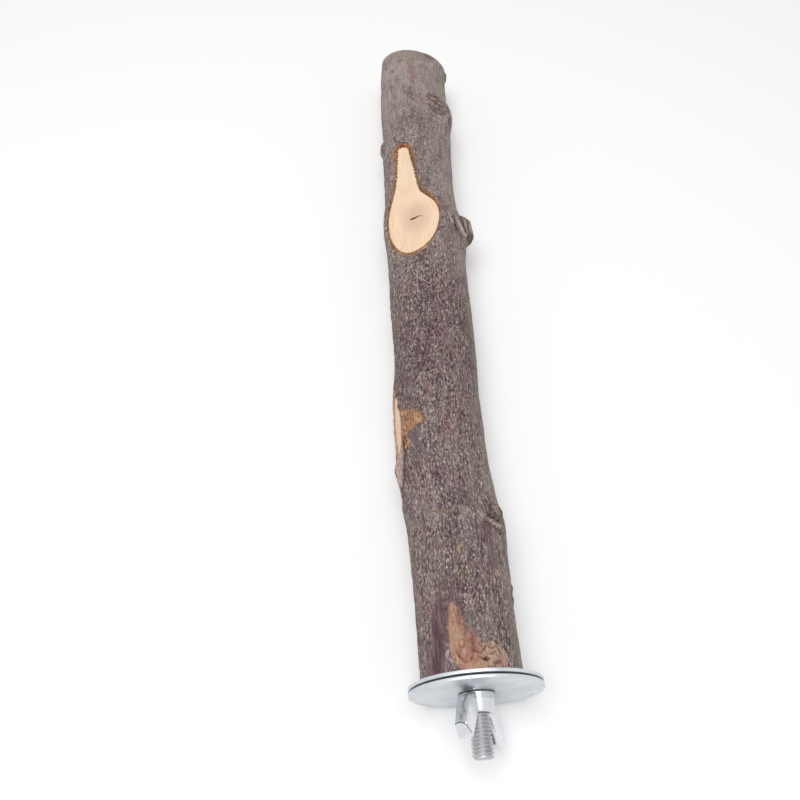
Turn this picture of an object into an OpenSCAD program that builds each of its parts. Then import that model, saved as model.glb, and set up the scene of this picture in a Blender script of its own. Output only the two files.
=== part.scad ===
// Natural-wood bird perch. A length of branch with its bark on, and a stud
// with two large washers and a wing nut that clamp it to the bars of a cage.
// The stud lies along Y and points to -Y. The branch runs to +Y.
// The origin is on the stud's axis, on the clamping face of the inner washer.
// Millimetres.

/* [Branch] */
// Length of the branch, from its sawn end to the middle of its far end
branch_len = 273; // [200:1:340]
// Diameter over the bark at the washers
branch_d = 28.7; // [24:0.1:34]
// Thickness of the bark
bark_t = 0.9; // [0.6:0.1:1.4]
// Room between the bark and the wood, all the way round
bark_fit = 0.04; // [0.02:0.01:0.08]
// Sideways bend at about a third of the length
side_bend = 2.9; // [0:0.1:6]
// Lean of the far end's cut away from the top, in degrees
far_cut_lean = 20; // [0:1:25]
// Turn of the far end's cut towards +X, in degrees
far_cut_turn = 17; // [0:1:25]

/* [Knots and swellings] */
// Height of the torn twig stub on the right side
twig_h = 4.4; // [2:0.1:6]
// Length of the twig stub's foot along the branch
twig_len = 23; // [18:1:36]
// Height of the round knot on the right side
knot_h = 2.4; // [1:0.1:5]
// Length of the round knot's foot
knot_len = 15; // [12:1:24]
// Height of the healed lump near the far end
lump_h = 2.2; // [0:0.1:4]
// Length of the healed lump
lump_len = 26; // [20:1:40]
// Height of the small bud scar on the left side
bud_h = 1; // [0:0.1:3]
// Length of the bud scar's foot
bud_len = 12; // [12:1:24]
// Height of the sawn side branch's collar, before it is cut
collar_h = 4.6; // [2:0.1:7]
// Length of the collar along the branch
collar_len = 52; // [36:1:70]
// Length of the low swelling that the underside rests on
foot_len = 44; // [30:1:60]

/* [Cuts] */
// Depth of the round end of the pear-shaped cut, where a side branch was sawn off
pear_cut_depth = 1.5; // [0.8:0.1:2]
// Length of the pear's round end
pear_cut_len = 46; // [36:1:60]
// Depth of the pear's narrow neck
neck_cut_depth = 1.3; // [1:0.1:2]
// Length of the pear's narrow neck
neck_cut_len = 46; // [30:1:60]
// Depth of the flat cut on the left side
side_cut_depth = 1.5; // [1:0.1:2]
// Length of the flat cut on the left side
side_cut_len = 36; // [24:1:44]
// Depth of the scrape in the bark beside the washers
scrape_depth = 0.6; // [0.3:0.1:0.8]
// Length of the scrape
scrape_len = 28; // [20:1:32]

/* [Washers] */
// Outer diameter of both washers
washer_d = 38; // [36:0.5:50]
// Thickness of each washer
washer_t = 1; // [0.8:0.1:2]
// Diameter of the washers' hole
washer_bore_d = 6.4; // [6.3:0.1:7]
// Rounding of the washers' stamped edge
washer_edge = 0.2; // [0.1:0.05:0.35]
// Gap between the washers, as it is set
clamp_gap = 0.5; // [0.3:0.1:4]
// Room between the inner washer and the branch's sawn end
seat_fit = 0.05; // [0.02:0.01:0.2]

/* [Stud] */
// Major diameter of the machine thread
stud_d = 6; // [5:0.1:6.2]
// Pitch of the machine thread
stud_pitch = 1; // [0.8:0.05:1.25]
// Length of stud that shows past the outer washer
stud_out = 16.8; // [16:0.1:24]
// Plain land at the stud's free end, where the first turn of thread is not yet cut
end_land = 1.2; // [0.8:0.1:2]
// Bevel at the stud's free end
end_bevel = 0.5; // [0.3:0.1:0.6]
// Length of the machine thread that enters the branch
stud_in = 2; // [1:0.5:4]
// Length of the plain shank inside the branch
shank_len = 5; // [3:0.5:8]
// Length of the wood-screw thread
screw_len = 24; // [18:1:32]
// Pitch of the wood-screw thread
screw_pitch = 3; // [2.5:0.1:3.5]
// Crest diameter of the wood-screw thread
screw_d = 5.6; // [4.8:0.1:5.8]
// Root diameter of the wood-screw thread
screw_root_d = 4; // [3.6:0.1:4.2]
// Length of the screw's point
screw_tip_len = 5; // [4:0.5:8]
// Room between the screw and the wood that it has cut
screw_fit = 0.03; // [0.02:0.01:0.06]

/* [Wing nut] */
// Hub diameter where it meets the washer
hub_d = 10.4; // [9.5:0.1:12]
// Hub diameter at its top
hub_top_d = 9; // [8.5:0.1:9.4]
// Height of the hub
hub_h = 5.5; // [5:0.1:8]
// Height over the wings
nut_h = 13.2; // [11:0.1:14]
// Span over the wings
nut_span = 26.5; // [22:0.5:30]
// Thickness of a wing at its tip
wing_t = 2.8; // [2:0.1:3.2]
// Thickness of a wing at the hub
wing_root_t = 3.6; // [3.2:0.1:4]
// Length of a wing's slanted end
wing_w = 5.2; // [4:0.1:6]
// Rounding of the wing's outline
wing_round = 1.1; // [0.6:0.1:1.4]
// Running clearance between the nut's bore and the stud, on the radius
nut_fit = 0.05; // [0.02:0.01:0.1]
// Angle of the wings round the stud, in degrees
nut_turn = 62; // [0:1:180]

/* [Hidden] */

// How finely the branch is built
sides = 36;
rings = 64;
core_step = 2;
cuts_fn = 180;
metal_fn = 96;
// One overrun for every cut
cut_over = 4;

washer_r = washer_d / 2;
branch_r = branch_d / 2;
stud_r = stud_d / 2;
// The branch's sawn end, along +Y from the origin
sawn_end = washer_t + seat_fit;
// The nut's seat and the stud's end, along -Y from the origin
nut_seat = clamp_gap + washer_t;
stud_end = nut_seat + stud_out;

// Places along the branch, and what the centre line and the girth do there,
// as shares of the length, of side_bend, of the droop and of the radius
bend_share = [[0, -0.24], [0.035, -0.31], [0.1, -0.27], [0.135, -0.24], [0.175, -0.64], [0.211, -0.74],
    [0.252, -1], [0.272, -1.07], [0.3, -1], [0.34, -0.94], [0.42, -0.55], [0.6, -0.38], [0.7, -0.28], [0.81, 0],
    [0.9, 0.19], [0.95, 0.36], [1, 0.78]];
droop_share = [[0, 0], [0.1, 0.04], [0.3, 0.24], [0.55, 0.52], [0.8, 0.78], [0.92, 0.9], [1, 1]];
girth_share = [[0, 1], [0.08, 1], [0.12, 1.015], [0.17, 1.05], [0.22, 1.03], [0.3, 1.02], [0.4, 1],
    [0.5, 1.015], [0.58, 1.025], [0.66, 0.985], [0.72, 0.96], [0.8, 0.985], [0.87, 1], [0.94, 0.985], [1, 0.98]];

// A smooth value between the rows of a table
function ease(t) = t * t * (3 - 2 * t);
function row_at(table, u, i) = i >= len(table) - 2 || u < table[i + 1][0] ? i : row_at(table, u, i + 1);
function along(table, u, i) =
    let (a = table[i], b = table[i + 1], t = min(1, max(0, (u - a[0]) / (b[0] - a[0]))))
    a[1] + (b[1] - a[1]) * ease(t);
function look_up(table, u) = along(table, u, row_at(table, u, 0));

far_r = branch_r * look_up(girth_share, 1);
droop = washer_r - far_r;
function centre_x(u) = side_bend * look_up(bend_share, u);
function centre_z(u) = -droop * look_up(droop_share, u);
function stem_r(u) = branch_r * look_up(girth_share, u);

// Places of the swellings and cuts along the branch
collar_place_share = 0.645;
neck_place_share = 0.745;
twig_place_share = 0.622;
knot_place_share = 0.17;
lump_place_share = 0.868;
bud_place_share = 0.79;
foot_place_share = 0.56;
side_cut_place_share = 0.311;
scrape_place_share = 0.052;
// Their angles round the branch, in degrees from +X towards +Z
collar_turn = 110;
neck_turn = 114;
twig_turn = 14;
knot_turn = 40;
lump_turn = 35;
bud_turn = 178;
foot_turn = 255;
side_cut_turn = 170;
scrape_turn = 93;
// How far round the branch each swelling reaches, in degrees
collar_reach = 130;
twig_reach = 74;
knot_reach = 62;
lump_reach = 90;
bud_reach = 50;
foot_reach = 70;

// A rounded bump: its place, its angle, its length, its reach and its height
function turn_between(a, b) = let (d = abs(a - b) % 360) d > 180 ? 360 - d : d;
function bump(u, angle, b) =
    let (x = (u - b[0]) * branch_len / (b[2] / 2), y = turn_between(angle, b[1]) / (b[3] / 2), q = x * x + y * y)
    q >= 1 ? 0 : b[4] * (1 - q) * (1 - q);

// The foot swells as far as the floor that the washers stand on
foot_h = (washer_r + centre_z(foot_place_share)) / -sin(foot_turn) - stem_r(foot_place_share);
collar = [collar_place_share, collar_turn, collar_len, collar_reach, collar_h];
foot = [foot_place_share, foot_turn, foot_len, foot_reach, foot_h];
twig = [twig_place_share, twig_turn, twig_len, twig_reach, twig_h];
knot = [knot_place_share, knot_turn, knot_len, knot_reach, knot_h];
lump = [lump_place_share, lump_turn, lump_len, lump_reach, lump_h];
bud = [bud_place_share, bud_turn, bud_len, bud_reach, bud_h];

// The wood follows the slow shapes, and the bark also carries the small knots
function wood_r(u, angle) = stem_r(u) + bump(u, angle, collar) + bump(u, angle, foot);
function bark_r(u, angle) =
    wood_r(u, angle) + bump(u, angle, twig) + bump(u, angle, knot) + bump(u, angle, lump) + bump(u, angle, bud);

// A point of the branch. The far end's slant grows along the length, and nothing goes below the floor.
function place(u, angle, r) =
    let (
        x = centre_x(u) + r * cos(angle),
        z = max(-washer_r, centre_z(u) + r * sin(angle)),
        slant = (x - centre_x(1)) * tan(far_cut_turn) + (z - centre_z(1)) * tan(far_cut_lean)
    )
    [x, sawn_end + u * branch_len - slant * u * u * u * u, z];

function outer_ring(u) = [for (j = [0:sides - 1]) let (a = j * 360 / sides) place(u, a, bark_r(u, a))];
function wood_ring(u, under) = [for (j = [0:sides - 1]) let (a = j * 360 / sides) place(u, a, wood_r(u, a) - under)];

// Triangles between ring a and ring b of a stack of rings
function band(a, b) = [
    for (j = [0:sides - 1])
        let (k = (j + 1) % sides, p = a * sides + j, q = a * sides + k, r = b * sides + j, s = b * sides + k)
        each [[p, r, s], [p, s, q]]
];

// A closed tube: out along the bark, back along the wood
module bark_tube() {
    out = [for (i = [0:rings]) each outer_ring(i / rings)];
    back = [for (i = [rings:-core_step:0]) each wood_ring(i / rings, bark_t)];
    count = rings + 1 + rings / core_step + 1;
    polyhedron(
        points = concat(out, back),
        faces = [for (i = [0:count - 1]) each band(i, (i + 1) % count)]
    );
}

// A closed rod, with its rings in the order of the bark's inner wall and its
// triangles turned outwards, so that every facet lies parallel to that wall
module wood_rod() {
    count = rings / core_step + 1;
    last = (count - 1) * sides;
    polyhedron(
        points = [for (i = [rings:-core_step:0]) each wood_ring(i / rings, bark_t + bark_fit)],
        faces = concat(
            [for (i = [0:count - 2]) for (f = band(i, i + 1)) [f[0], f[2], f[1]]],
            [for (j = [1:sides - 2]) [0, j + 1, j]],
            [for (j = [1:sides - 2]) [last, last + j, last + j + 1]]
        )
    );
}

// A long shallow scoop, cut by a very large cylinder that dips below the bark
module scoop(place_share, turn, length, depth, girth) {
    r = length * length / (8 * depth) + depth / 2;
    translate([centre_x(place_share), sawn_end + place_share * branch_len, centre_z(place_share)])
        rotate([0, -turn, 0])
        translate([girth - depth + r, 0, 0])
        cylinder(r = r, h = branch_d, center = true, $fn = cuts_fn);
}

module pear_cut() {
    scoop(collar_place_share, collar_turn, pear_cut_len, pear_cut_depth, stem_r(collar_place_share));
    scoop(neck_place_share, neck_turn, neck_cut_len, neck_cut_depth, stem_r(neck_place_share));
}

module side_cut() {
    scoop(side_cut_place_share, side_cut_turn, side_cut_len, side_cut_depth, stem_r(side_cut_place_share));
}

module scrape_cut() {
    scoop(scrape_place_share, scrape_turn, scrape_len, scrape_depth, stem_r(scrape_place_share));
}

// The stud's outline, radius against distance towards its free end
function thread_rows(from, to, pitch, crest, root, land) = [
    for (i = [0:floor((to - from) / pitch) - 1])
        let (y = from + i * pitch)
        each [[root, y], [crest, y + pitch / 2 - land / 2], [crest, y + pitch / 2 + land / 2], [root, y + pitch]]
];

// Depth of the machine thread and width of both threads' crests, as shares of their pitch
thread_depth_share = 0.61;
stud_crest_share = 1 / 6;
screw_crest_share = 1 / 12;

module stud_profile(grow) {
    thread_depth = stud_pitch * thread_depth_share;
    stud_crest = stud_pitch * stud_crest_share;
    screw_crest = screw_pitch * screw_crest_share;
    root_r = stud_r - thread_depth;
    shank_r = stud_r - thread_depth / 2;
    thread_start = -sawn_end - stud_in;
    shank_start = thread_start - shank_len;
    screw_start = shank_start - screw_len;
    tip = screw_start - screw_tip_len;
    land_start = stud_end - end_bevel - end_land;
    turns_end = thread_start + floor((land_start - thread_start) / stud_pitch) * stud_pitch;
    rows = concat(
        [[0, tip - grow], [grow, tip - grow]],
        [for (p = thread_rows(screw_start, shank_start, screw_pitch, screw_d / 2, screw_root_d / 2, screw_crest))
            [p[0] + grow, p[1]]],
        [[shank_r + grow, shank_start], [shank_r + grow, thread_start]],
        [for (p = thread_rows(thread_start, turns_end, stud_pitch, stud_r, root_r, stud_crest))
            [p[0] + grow, p[1]]],
        [[root_r + grow, land_start - thread_depth / 2], [stud_r + grow, land_start]],
        [[stud_r + grow, stud_end - end_bevel], [stud_r - end_bevel + grow, stud_end], [0, stud_end]]
    );
    polygon(rows);
}

module stud_solid(grow) {
    rotate([90, 0, 0])
        rotate_extrude($fn = metal_fn)
        stud_profile(grow);
}

module washer(seat) {
    rotate([90, 0, 0])
        translate([0, 0, seat])
        rotate_extrude($fn = metal_fn)
        polygon([
            [washer_bore_d / 2, 0],
            [washer_r - washer_edge, 0],
            [washer_r, washer_edge],
            [washer_r, washer_t - washer_edge],
            [washer_r - washer_edge, washer_t],
            [washer_bore_d / 2, washer_t]
        ]);
}

// The fall of the wing's slanted end, as a share of wing_w, and where its inner edge meets the hub, of hub_h
wing_slant_share = 0.71;
wing_seat_share = 0.88;
// The wing's elbow by the washer, as shares of half the span and of nut_h
wing_elbow_shares = [0.67, 0.1];

// One wing's outline: out along the washer to the elbow, and up steeply to a slanted end
module wing_outline() {
    tip_x = nut_span / 2;
    root_x = (stud_r + nut_fit + hub_top_d / 2) / 2;
    offset(r = wing_round, $fn = 32)
        offset(delta = -wing_round)
        polygon([
            [root_x, wing_round],
            [tip_x * wing_elbow_shares[0], nut_h * wing_elbow_shares[1]],
            [tip_x, nut_h - wing_w * wing_slant_share],
            [tip_x - wing_w * wing_slant_share, nut_h],
            [root_x, hub_h * wing_seat_share]
        ]);
}

// The wing is thicker at the hub than at its tip
module wing() {
    intersection() {
        rotate([90, 0, 0])
            linear_extrude(height = wing_root_t, center = true)
            wing_outline();
        linear_extrude(height = nut_h)
            polygon([
                [0, -wing_root_t / 2],
                [hub_d / 2, -wing_root_t / 2],
                [nut_span / 2, -wing_t / 2],
                [nut_span / 2, wing_t / 2],
                [hub_d / 2, wing_root_t / 2],
                [0, wing_root_t / 2]
            ]);
    }
}

module branch_core() {
    color("burlywood")
        difference() {
            wood_rod();
            pear_cut();
            side_cut();
            stud_solid(screw_fit);
        }
}

module bark() {
    color("dimgray")
        difference() {
            bark_tube();
            pear_cut();
            side_cut();
            scrape_cut();
        }
}

module hanger_bolt() {
    color("darkgray")
        stud_solid(0);
}

module inner_washer() {
    color("lightgray")
        washer(-washer_t);
}

module outer_washer() {
    color("gainsboro")
        washer(clamp_gap);
}

module wing_nut() {
    color("silver")
        rotate([90, 0, 0])
        translate([0, 0, nut_seat])
        rotate([0, 0, -nut_turn])
        difference() {
            union() {
                cylinder(r1 = hub_d / 2, r2 = hub_top_d / 2, h = hub_h, $fn = metal_fn);
                wing();
                mirror([1, 0, 0]) wing();
            }
            translate([0, 0, -cut_over])
                cylinder(r = stud_r + nut_fit, h = nut_h + 2 * cut_over, $fn = metal_fn);
        }
}

branch_core();
bark();
hanger_bolt();
inner_washer();
outer_washer();
wing_nut();
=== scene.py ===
import math

import bmesh
import bpy
from mathutils import Matrix, Vector, kdtree, noise


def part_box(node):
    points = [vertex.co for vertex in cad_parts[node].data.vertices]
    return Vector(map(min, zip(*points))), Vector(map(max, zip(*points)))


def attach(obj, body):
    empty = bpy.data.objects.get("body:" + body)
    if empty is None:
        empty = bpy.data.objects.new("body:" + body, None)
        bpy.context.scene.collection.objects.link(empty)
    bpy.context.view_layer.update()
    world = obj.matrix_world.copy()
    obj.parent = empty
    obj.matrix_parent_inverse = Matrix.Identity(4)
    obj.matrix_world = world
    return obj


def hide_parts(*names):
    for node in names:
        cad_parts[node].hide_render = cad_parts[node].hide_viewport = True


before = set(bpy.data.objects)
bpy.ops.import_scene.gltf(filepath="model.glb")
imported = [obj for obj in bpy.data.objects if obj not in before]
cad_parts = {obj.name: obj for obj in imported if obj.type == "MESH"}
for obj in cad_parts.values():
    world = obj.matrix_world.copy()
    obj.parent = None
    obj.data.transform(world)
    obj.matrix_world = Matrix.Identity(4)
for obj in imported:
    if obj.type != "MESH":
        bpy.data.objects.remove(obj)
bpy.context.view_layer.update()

# Natural-wood bird perch: a branch with its bark on, a stud, two washers and a wing nut.
# The stud lies along Y and points to -Y. Everything is modelled in millimetres
# and brought to metres at the end, when a piece is finished.

mm = 0.001
print("frame loaded")


# shared helpers

def srgb(red, green, blue):
    def linear(c):
        c = c / 255
        return c / 12.92 if c <= 0.04045 else ((c + 0.055) / 1.055) ** 2.4
    return (linear(red), linear(green), linear(blue), 1)


def clamp(value, low=0.0, high=1.0):
    return max(low, min(high, value))


def ease(t):
    t = clamp(t)
    return t * t * (3 - 2 * t)


def mix(a, b, t):
    return a + (b - a) * t


def lookUp(table, u):
    # smooth value between the rows of a table of (share, value)
    for a, b in zip(table, table[1:]):
        if u <= b[0]:
            return mix(a[1], b[1], ease((u - a[0]) / (b[0] - a[0])))
    return table[-1][1]


def turnBetween(a, b):
    d = abs(a - b) % 360
    return 360 - d if d > 180 else d


def awayFrom(p, start, line):
    # how far a point is from a straight stretch that begins at start
    offset = p - start
    return (offset - line * clamp(offset.dot(line) / line.length_squared)).length


def objectFrom(bm, name):
    mesh = bpy.data.meshes.new(name)
    bm.to_mesh(mesh)
    bm.free()
    made = bpy.data.objects.new(name, mesh)
    bpy.context.scene.collection.objects.link(made)
    return made


def removeObject(used):
    mesh = used.data
    bpy.data.objects.remove(used)
    bpy.data.meshes.remove(mesh)


def finishPiece(bm, name, materials, body, *nodes):
    # millimetres to metres, then one object at the origin that rides on its body
    bmesh.ops.scale(bm, vec=(mm, mm, mm), verts=bm.verts)
    piece = objectFrom(bm, name)
    for material in materials:
        piece.data.materials.append(material)
    for face in piece.data.polygons:
        face.use_smooth = True
    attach(piece, body)
    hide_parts(*nodes)
    return piece


def applied(bm, kind, **settings):
    # runs one modifier on a bmesh and gives the result back
    work = objectFrom(bm, "work")
    modifier = work.modifiers.new(kind, kind)
    for key, value in settings.items():
        setattr(modifier, key, value)
    bpy.context.view_layer.update()
    done = work.evaluated_get(bpy.context.evaluated_depsgraph_get()).to_mesh()
    result = bmesh.new()
    result.from_mesh(done)
    removeObject(work)
    return result


def boolean(bm, tool, operation="DIFFERENCE"):
    cutter = objectFrom(tool, "cutter")
    result = applied(bm, "BOOLEAN", operation=operation, object=cutter, solver="MANIFOLD")
    removeObject(cutter)
    return result


def extruded(bm, edges):
    # extrudes a loop of edges and gives the new vertices and the new open edges
    made = bmesh.ops.extrude_edge_only(bm, edges=edges)["geom"]
    return ([g for g in made if isinstance(g, bmesh.types.BMVert)],
            [g for g in made if isinstance(g, bmesh.types.BMEdge) and g.is_boundary])


def bevelEdges(bm, edges, offset):
    bmesh.ops.bevel(bm, geom=edges, offset=offset, segments=3, profile=0.5, affect="EDGES", material=-1)


def lathe(rows, steps, axis=(0, 0, 1), closed=False):
    # rows of (radius, place on the axis), turned all the way round it
    bm = bmesh.new()
    verts = [bm.verts.new((radius, place * axis[1], place * axis[2])) for radius, place in rows]
    edges = [bm.edges.new((verts[i - 1], verts[i])) for i in range(0 if closed else 1, len(verts))]
    bmesh.ops.spin(bm, geom=verts + edges, cent=(0, 0, 0), axis=axis, angle=2 * math.pi, steps=steps,
                   use_merge=True)
    bmesh.ops.remove_doubles(bm, verts=bm.verts, dist=0.001)
    bmesh.ops.recalc_face_normals(bm, faces=bm.faces)
    return bm


def layDown(bm):
    # from upright to along the stud's axis
    bmesh.ops.rotate(bm, cent=(0, 0, 0), matrix=Matrix.Rotation(math.radians(90), 3, "X"), verts=bm.verts)


# material helpers

def newMaterial(name):
    material = bpy.data.materials.new(name)
    material.use_nodes = True
    material.node_tree.nodes.clear()
    return material, material.node_tree


def nodeOf(tree, kind, output, inputs=None, **properties):
    # a new node's output; each of its inputs is a value or another node's output
    node = tree.nodes.new("ShaderNode" + kind)
    for name, value in properties.items():
        setattr(node, name, value)
    for name, value in (inputs or {}).items():
        if isinstance(value, bpy.types.NodeSocket):
            tree.links.new(value, node.inputs[name])
        else:
            node.inputs[name].default_value = value
    return node.outputs[output]


def setSurface(material, shader):
    tree = material.node_tree
    tree.links.new(shader, tree.nodes.new("ShaderNodeOutputMaterial").inputs["Surface"])
    return material


def stretched(tree, vector, stretch, offset=(0, 0, 0)):
    return nodeOf(tree, "Mapping", "Vector", {"Vector": vector, "Location": offset, "Scale": stretch})


def objectPlace(tree):
    # object coordinates in millimetres
    return stretched(tree, nodeOf(tree, "TexCoord", "Object"), (1 / mm, 1 / mm, 1 / mm))


def attribute(tree, name, output="Color"):
    return nodeOf(tree, "Attribute", output, attribute_name=name)


def channels(tree, colour):
    node = tree.nodes.new("ShaderNodeSeparateColor")
    tree.links.new(colour, node.inputs["Color"])
    return node.outputs["Red"], node.outputs["Green"], node.outputs["Blue"]


def noiseOf(tree, place, stretch, offset=(0, 0, 0), detail=3, roughness=0.5, distortion=0):
    return nodeOf(tree, "TexNoise", "Fac", {
        "Vector": stretched(tree, place, stretch, offset), "Scale": 1, "Detail": detail, "Roughness": roughness,
        "Distortion": distortion})


def between(tree, value, low, high, toLow=0, toHigh=1):
    # 0 below low and 1 above high, eased
    return nodeOf(tree, "MapRange", "Result", {
        "Value": value, "From Min": low, "From Max": high, "To Min": toLow, "To Max": toHigh},
        interpolation_type="SMOOTHSTEP")


def math2(tree, operation, a, b=0.5):
    return nodeOf(tree, "Math", "Value", {0: a, 1: b}, operation=operation)


def times(tree, a, b):
    return math2(tree, "MULTIPLY", a, b)


def blendColour(tree, factor, a, b):
    return nodeOf(tree, "Mix", 2, {0: factor, 6: a, 7: b}, data_type="RGBA")


def stained(tree, body, *stains):
    # lays colours over the body, each where a value goes from low to high, and up to a share
    for value, low, high, share, colour in stains:
        body = blendColour(tree, between(tree, value, low, high, 0, share), body, srgb(*colour))
    return body


def bumpOf(tree, height, distance, strength, under=None):
    inputs = {"Strength": strength, "Distance": distance * mm, "Height": height}
    if under is not None:
        inputs["Normal"] = under
    return nodeOf(tree, "Bump", "Normal", inputs)


# the branch's form

branch = {
    "length": 273.0,
    "radius": 14.35,           # over the bark, at the washers
    "sideBend": 2.9,
    "barkThickness": 0.9,
    "barkGap": 0.04,
    "farCutLean": 20.0,        # degrees, away from the top
    "farCutTurn": 17.0,        # degrees, towards +X
    "slantGrowth": 4,          # how late along the branch the far end's slant sets in
    "facetsAround": 156,
    "ringStep": 1.0,
    "innerRingStep": 3.4,
    "foot": (152.3, 255.0),    # where it touches the floor: place along it, and angle
}

# shares of the length, then what happens there as a share of the bend, the droop or the radius
bendShare = [(0, -0.26), (0.03, -0.3), (0.055, -0.34), (0.1, -0.31), (0.13, -0.33), (0.165, -0.27), (0.205, -0.74),
             (0.252, -1.02), (0.272, -1.09), (0.3, -1), (0.34, -0.94), (0.42, -0.55), (0.6, -0.38), (0.7, -0.42),
             (0.77, -0.2), (0.83, 0.12), (0.9, 0.2), (0.95, 0.36), (1, 0.76)]
droopShare = [(0, 0), (0.1, 0.04), (0.3, 0.24), (0.55, 0.52), (0.8, 0.78), (0.92, 0.9), (1, 1)]
girthShare = [(0, 1), (0.08, 1), (0.12, 1.015), (0.17, 1.05), (0.22, 1.03), (0.3, 1.02), (0.4, 1), (0.5, 1.015),
              (0.58, 1.025), (0.66, 0.985), (0.72, 0.96), (0.8, 0.985), (0.87, 1), (0.94, 0.985), (1, 0.98)]

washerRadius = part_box("inner_washer")[1].x / mm
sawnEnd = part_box("bark")[0].y / mm
floorLevel = -washerRadius + 0.001
droop = washerRadius - branch["radius"] * girthShare[-1][1]

# swellings: place along the branch, angle round it from +X towards +Z, length, reach in degrees, height,
# and how steep its sides are
woodSwellings = {"collar": (170.0, 108.0, 64.0, 150.0, 4.6, 1)}
barkSwellings = {
    "twigFoot": (168.0, 14.0, 30.0, 80.0, 1.7, 1),
    "twigStub": (169.0, 12.0, 13.5, 60.0, 2.7, 2.6),
    "knotFoot": (44.0, 40.0, 24.0, 60.0, 0.7, 1),
    "knotDisc": (47.2, 44.0, 6.4, 26.0, 1.4, 2.6),
    "flap": (69.5, 178.0, 17.0, 30.0, 1.0, 1),
    "lump": (236.5, 32.0, 25.0, 84.0, 2.0, 1.2),
    "bud": (217.0, 176.0, 9.0, 34.0, 1.1, 1.6),
}

rowCache = {}


def branchRow(along):
    # centre line and girth at a place along the branch
    key = round(along, 4)
    if key not in rowCache:
        u = clamp(along / branch["length"])
        rowCache[key] = (branch["sideBend"] * lookUp(bendShare, u), -droop * lookUp(droopShare, u),
                         branch["radius"] * lookUp(girthShare, u))
    return rowCache[key]


def bumpHeight(along, turn, swelling):
    place, middle, length, reach, height, steepness = swelling
    q = (2 * (along - place) / length) ** 2 + (2 * turnBetween(turn, middle) / reach) ** 2
    return 0 if q >= 1 else height * (1 - q ** steepness) ** 2


def footHeight(place, turn):
    # how far the branch has to swell to touch the floor
    x, z, girth = branchRow(place)
    return (washerRadius + z) / -math.sin(math.radians(turn)) - girth


woodSwellings["foot"] = (*branch["foot"], 44.0, 70.0, footHeight(*branch["foot"]), 1)


def woodRadius(along, turn):
    return branchRow(along)[2] + sum(bumpHeight(along, turn, s) for s in woodSwellings.values())


def barkRadius(along, turn):
    return woodRadius(along, turn) + sum(bumpHeight(along, turn, s) for s in barkSwellings.values())


endX, endZ = branchRow(branch["length"])[:2]
slantX = math.tan(math.radians(branch["farCutTurn"]))
slantZ = math.tan(math.radians(branch["farCutLean"]))


def slanted(x, z, along):
    # the far end's slant grows along the length
    u = along / branch["length"]
    return sawnEnd + along - ((x - endX) * slantX + (z - endZ) * slantZ) * u ** branch["slantGrowth"]


def onBranch(along, turn, radius):
    # the floor stops what would go under it
    x, z = branchRow(along)[:2]
    x += radius * math.cos(math.radians(turn))
    z = max(floorLevel, z + radius * math.sin(math.radians(turn)))
    return Vector((x, slanted(x, z, along), z))


def placeOn(point):
    # the way back: where a point of the branch lies along and round it
    along = point.y - sawnEnd
    offset = (point.x - endX) * slantX + (point.z - endZ) * slantZ
    for _ in range(4):
        along = point.y - sawnEnd + offset * clamp(along / branch["length"]) ** branch["slantGrowth"]
    x, z = branchRow(along)[:2]
    turn = math.degrees(math.atan2(point.z - z, point.x - x))
    return along, turn if turn > -90 else turn + 360


# the flat cuts

# outline rows: across the cut, along the branch, and how wide the cut bark shows there
pearCut = {
    "turn": 112.0,
    "level": 12.5,
    "middle": 172.0,
    "rimHeight": 0.75,
    "flank": (8.0, 4.0),       # how far its rim swells, along the branch and across
    "torn": 0.8,               # how ragged its rim is at the neck
    "neck": (176, 12),         # where that sets in, and over what length
    "rows": [(-2.8, 207.0, 1.5), (-1.0, 207.4, 1.4), (0.8, 206.2, 1.8), (1.5, 200.8, 1.9), (2.5, 194.0, 1.5),
             (3.1, 187.5, 1.4), (4.0, 181.2, 1.9), (6.6, 177.4, 1.5), (9.3, 173.2, 1.1), (10.6, 168.4, 0.9),
             (10.3, 163.4, 0.9), (8.3, 158.2, 1.4), (5.2, 154.6, 1.9), (1.2, 152.6, 2.1), (-3.0, 152.6, 2.1),
             (-6.5, 155.6, 1.4), (-8.9, 161.4, 0.7), (-9.5, 168.0, 0.6), (-8.7, 174.6, 0.6), (-6.8, 181.6, 0.6),
             (-5.0, 188.4, 0.8), (-4.1, 195.4, 1.1), (-3.5, 201.5, 1.7), (-3.2, 204.9, 1.8)],
}
sideCut = {
    "turn": 170.0,
    "level": 13.75,
    "middle": 84.6,
    "rimHeight": 0.45,
    "flank": (5.0, 3.0),
    "torn": 0.0,
    "neck": (0, 1),
    "rows": [(0.3, 97.4, 0.3), (3.2, 94.0, 0.3), (4.6, 88.6, 0.3), (4.9, 82.6, 0.35), (4.2, 77.0, 0.45),
             (2.2, 73.2, 0.5), (-0.3, 71.4, 0.5), (-2.8, 74.0, 0.35), (-4.4, 79.0, 0.3), (-4.9, 85.0, 0.25),
             (-4.2, 91.5, 0.25), (-2.2, 96.2, 0.25)],
}

cutReach = 14.0        # how far from a cut its flank can go, along the branch
cutTurnReach = 82.0    # and round it, in degrees


def smoothLoop(rows, steps):
    # a closed curve through the rows
    count = len(rows)
    points = []
    for i in range(count):
        a, b, c, d = (rows[(i + k) % count] for k in (-1, 0, 1, 2))
        for j in range(steps):
            t = j / steps
            points.append(tuple(
                0.5 * (2 * q + (r - p) * t + (2 * p - 5 * q + 4 * r - s) * t * t + (3 * q - p - 3 * r + s) * t ** 3)
                for p, q, r, s in zip(a, b, c, d)))
    return points


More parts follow.
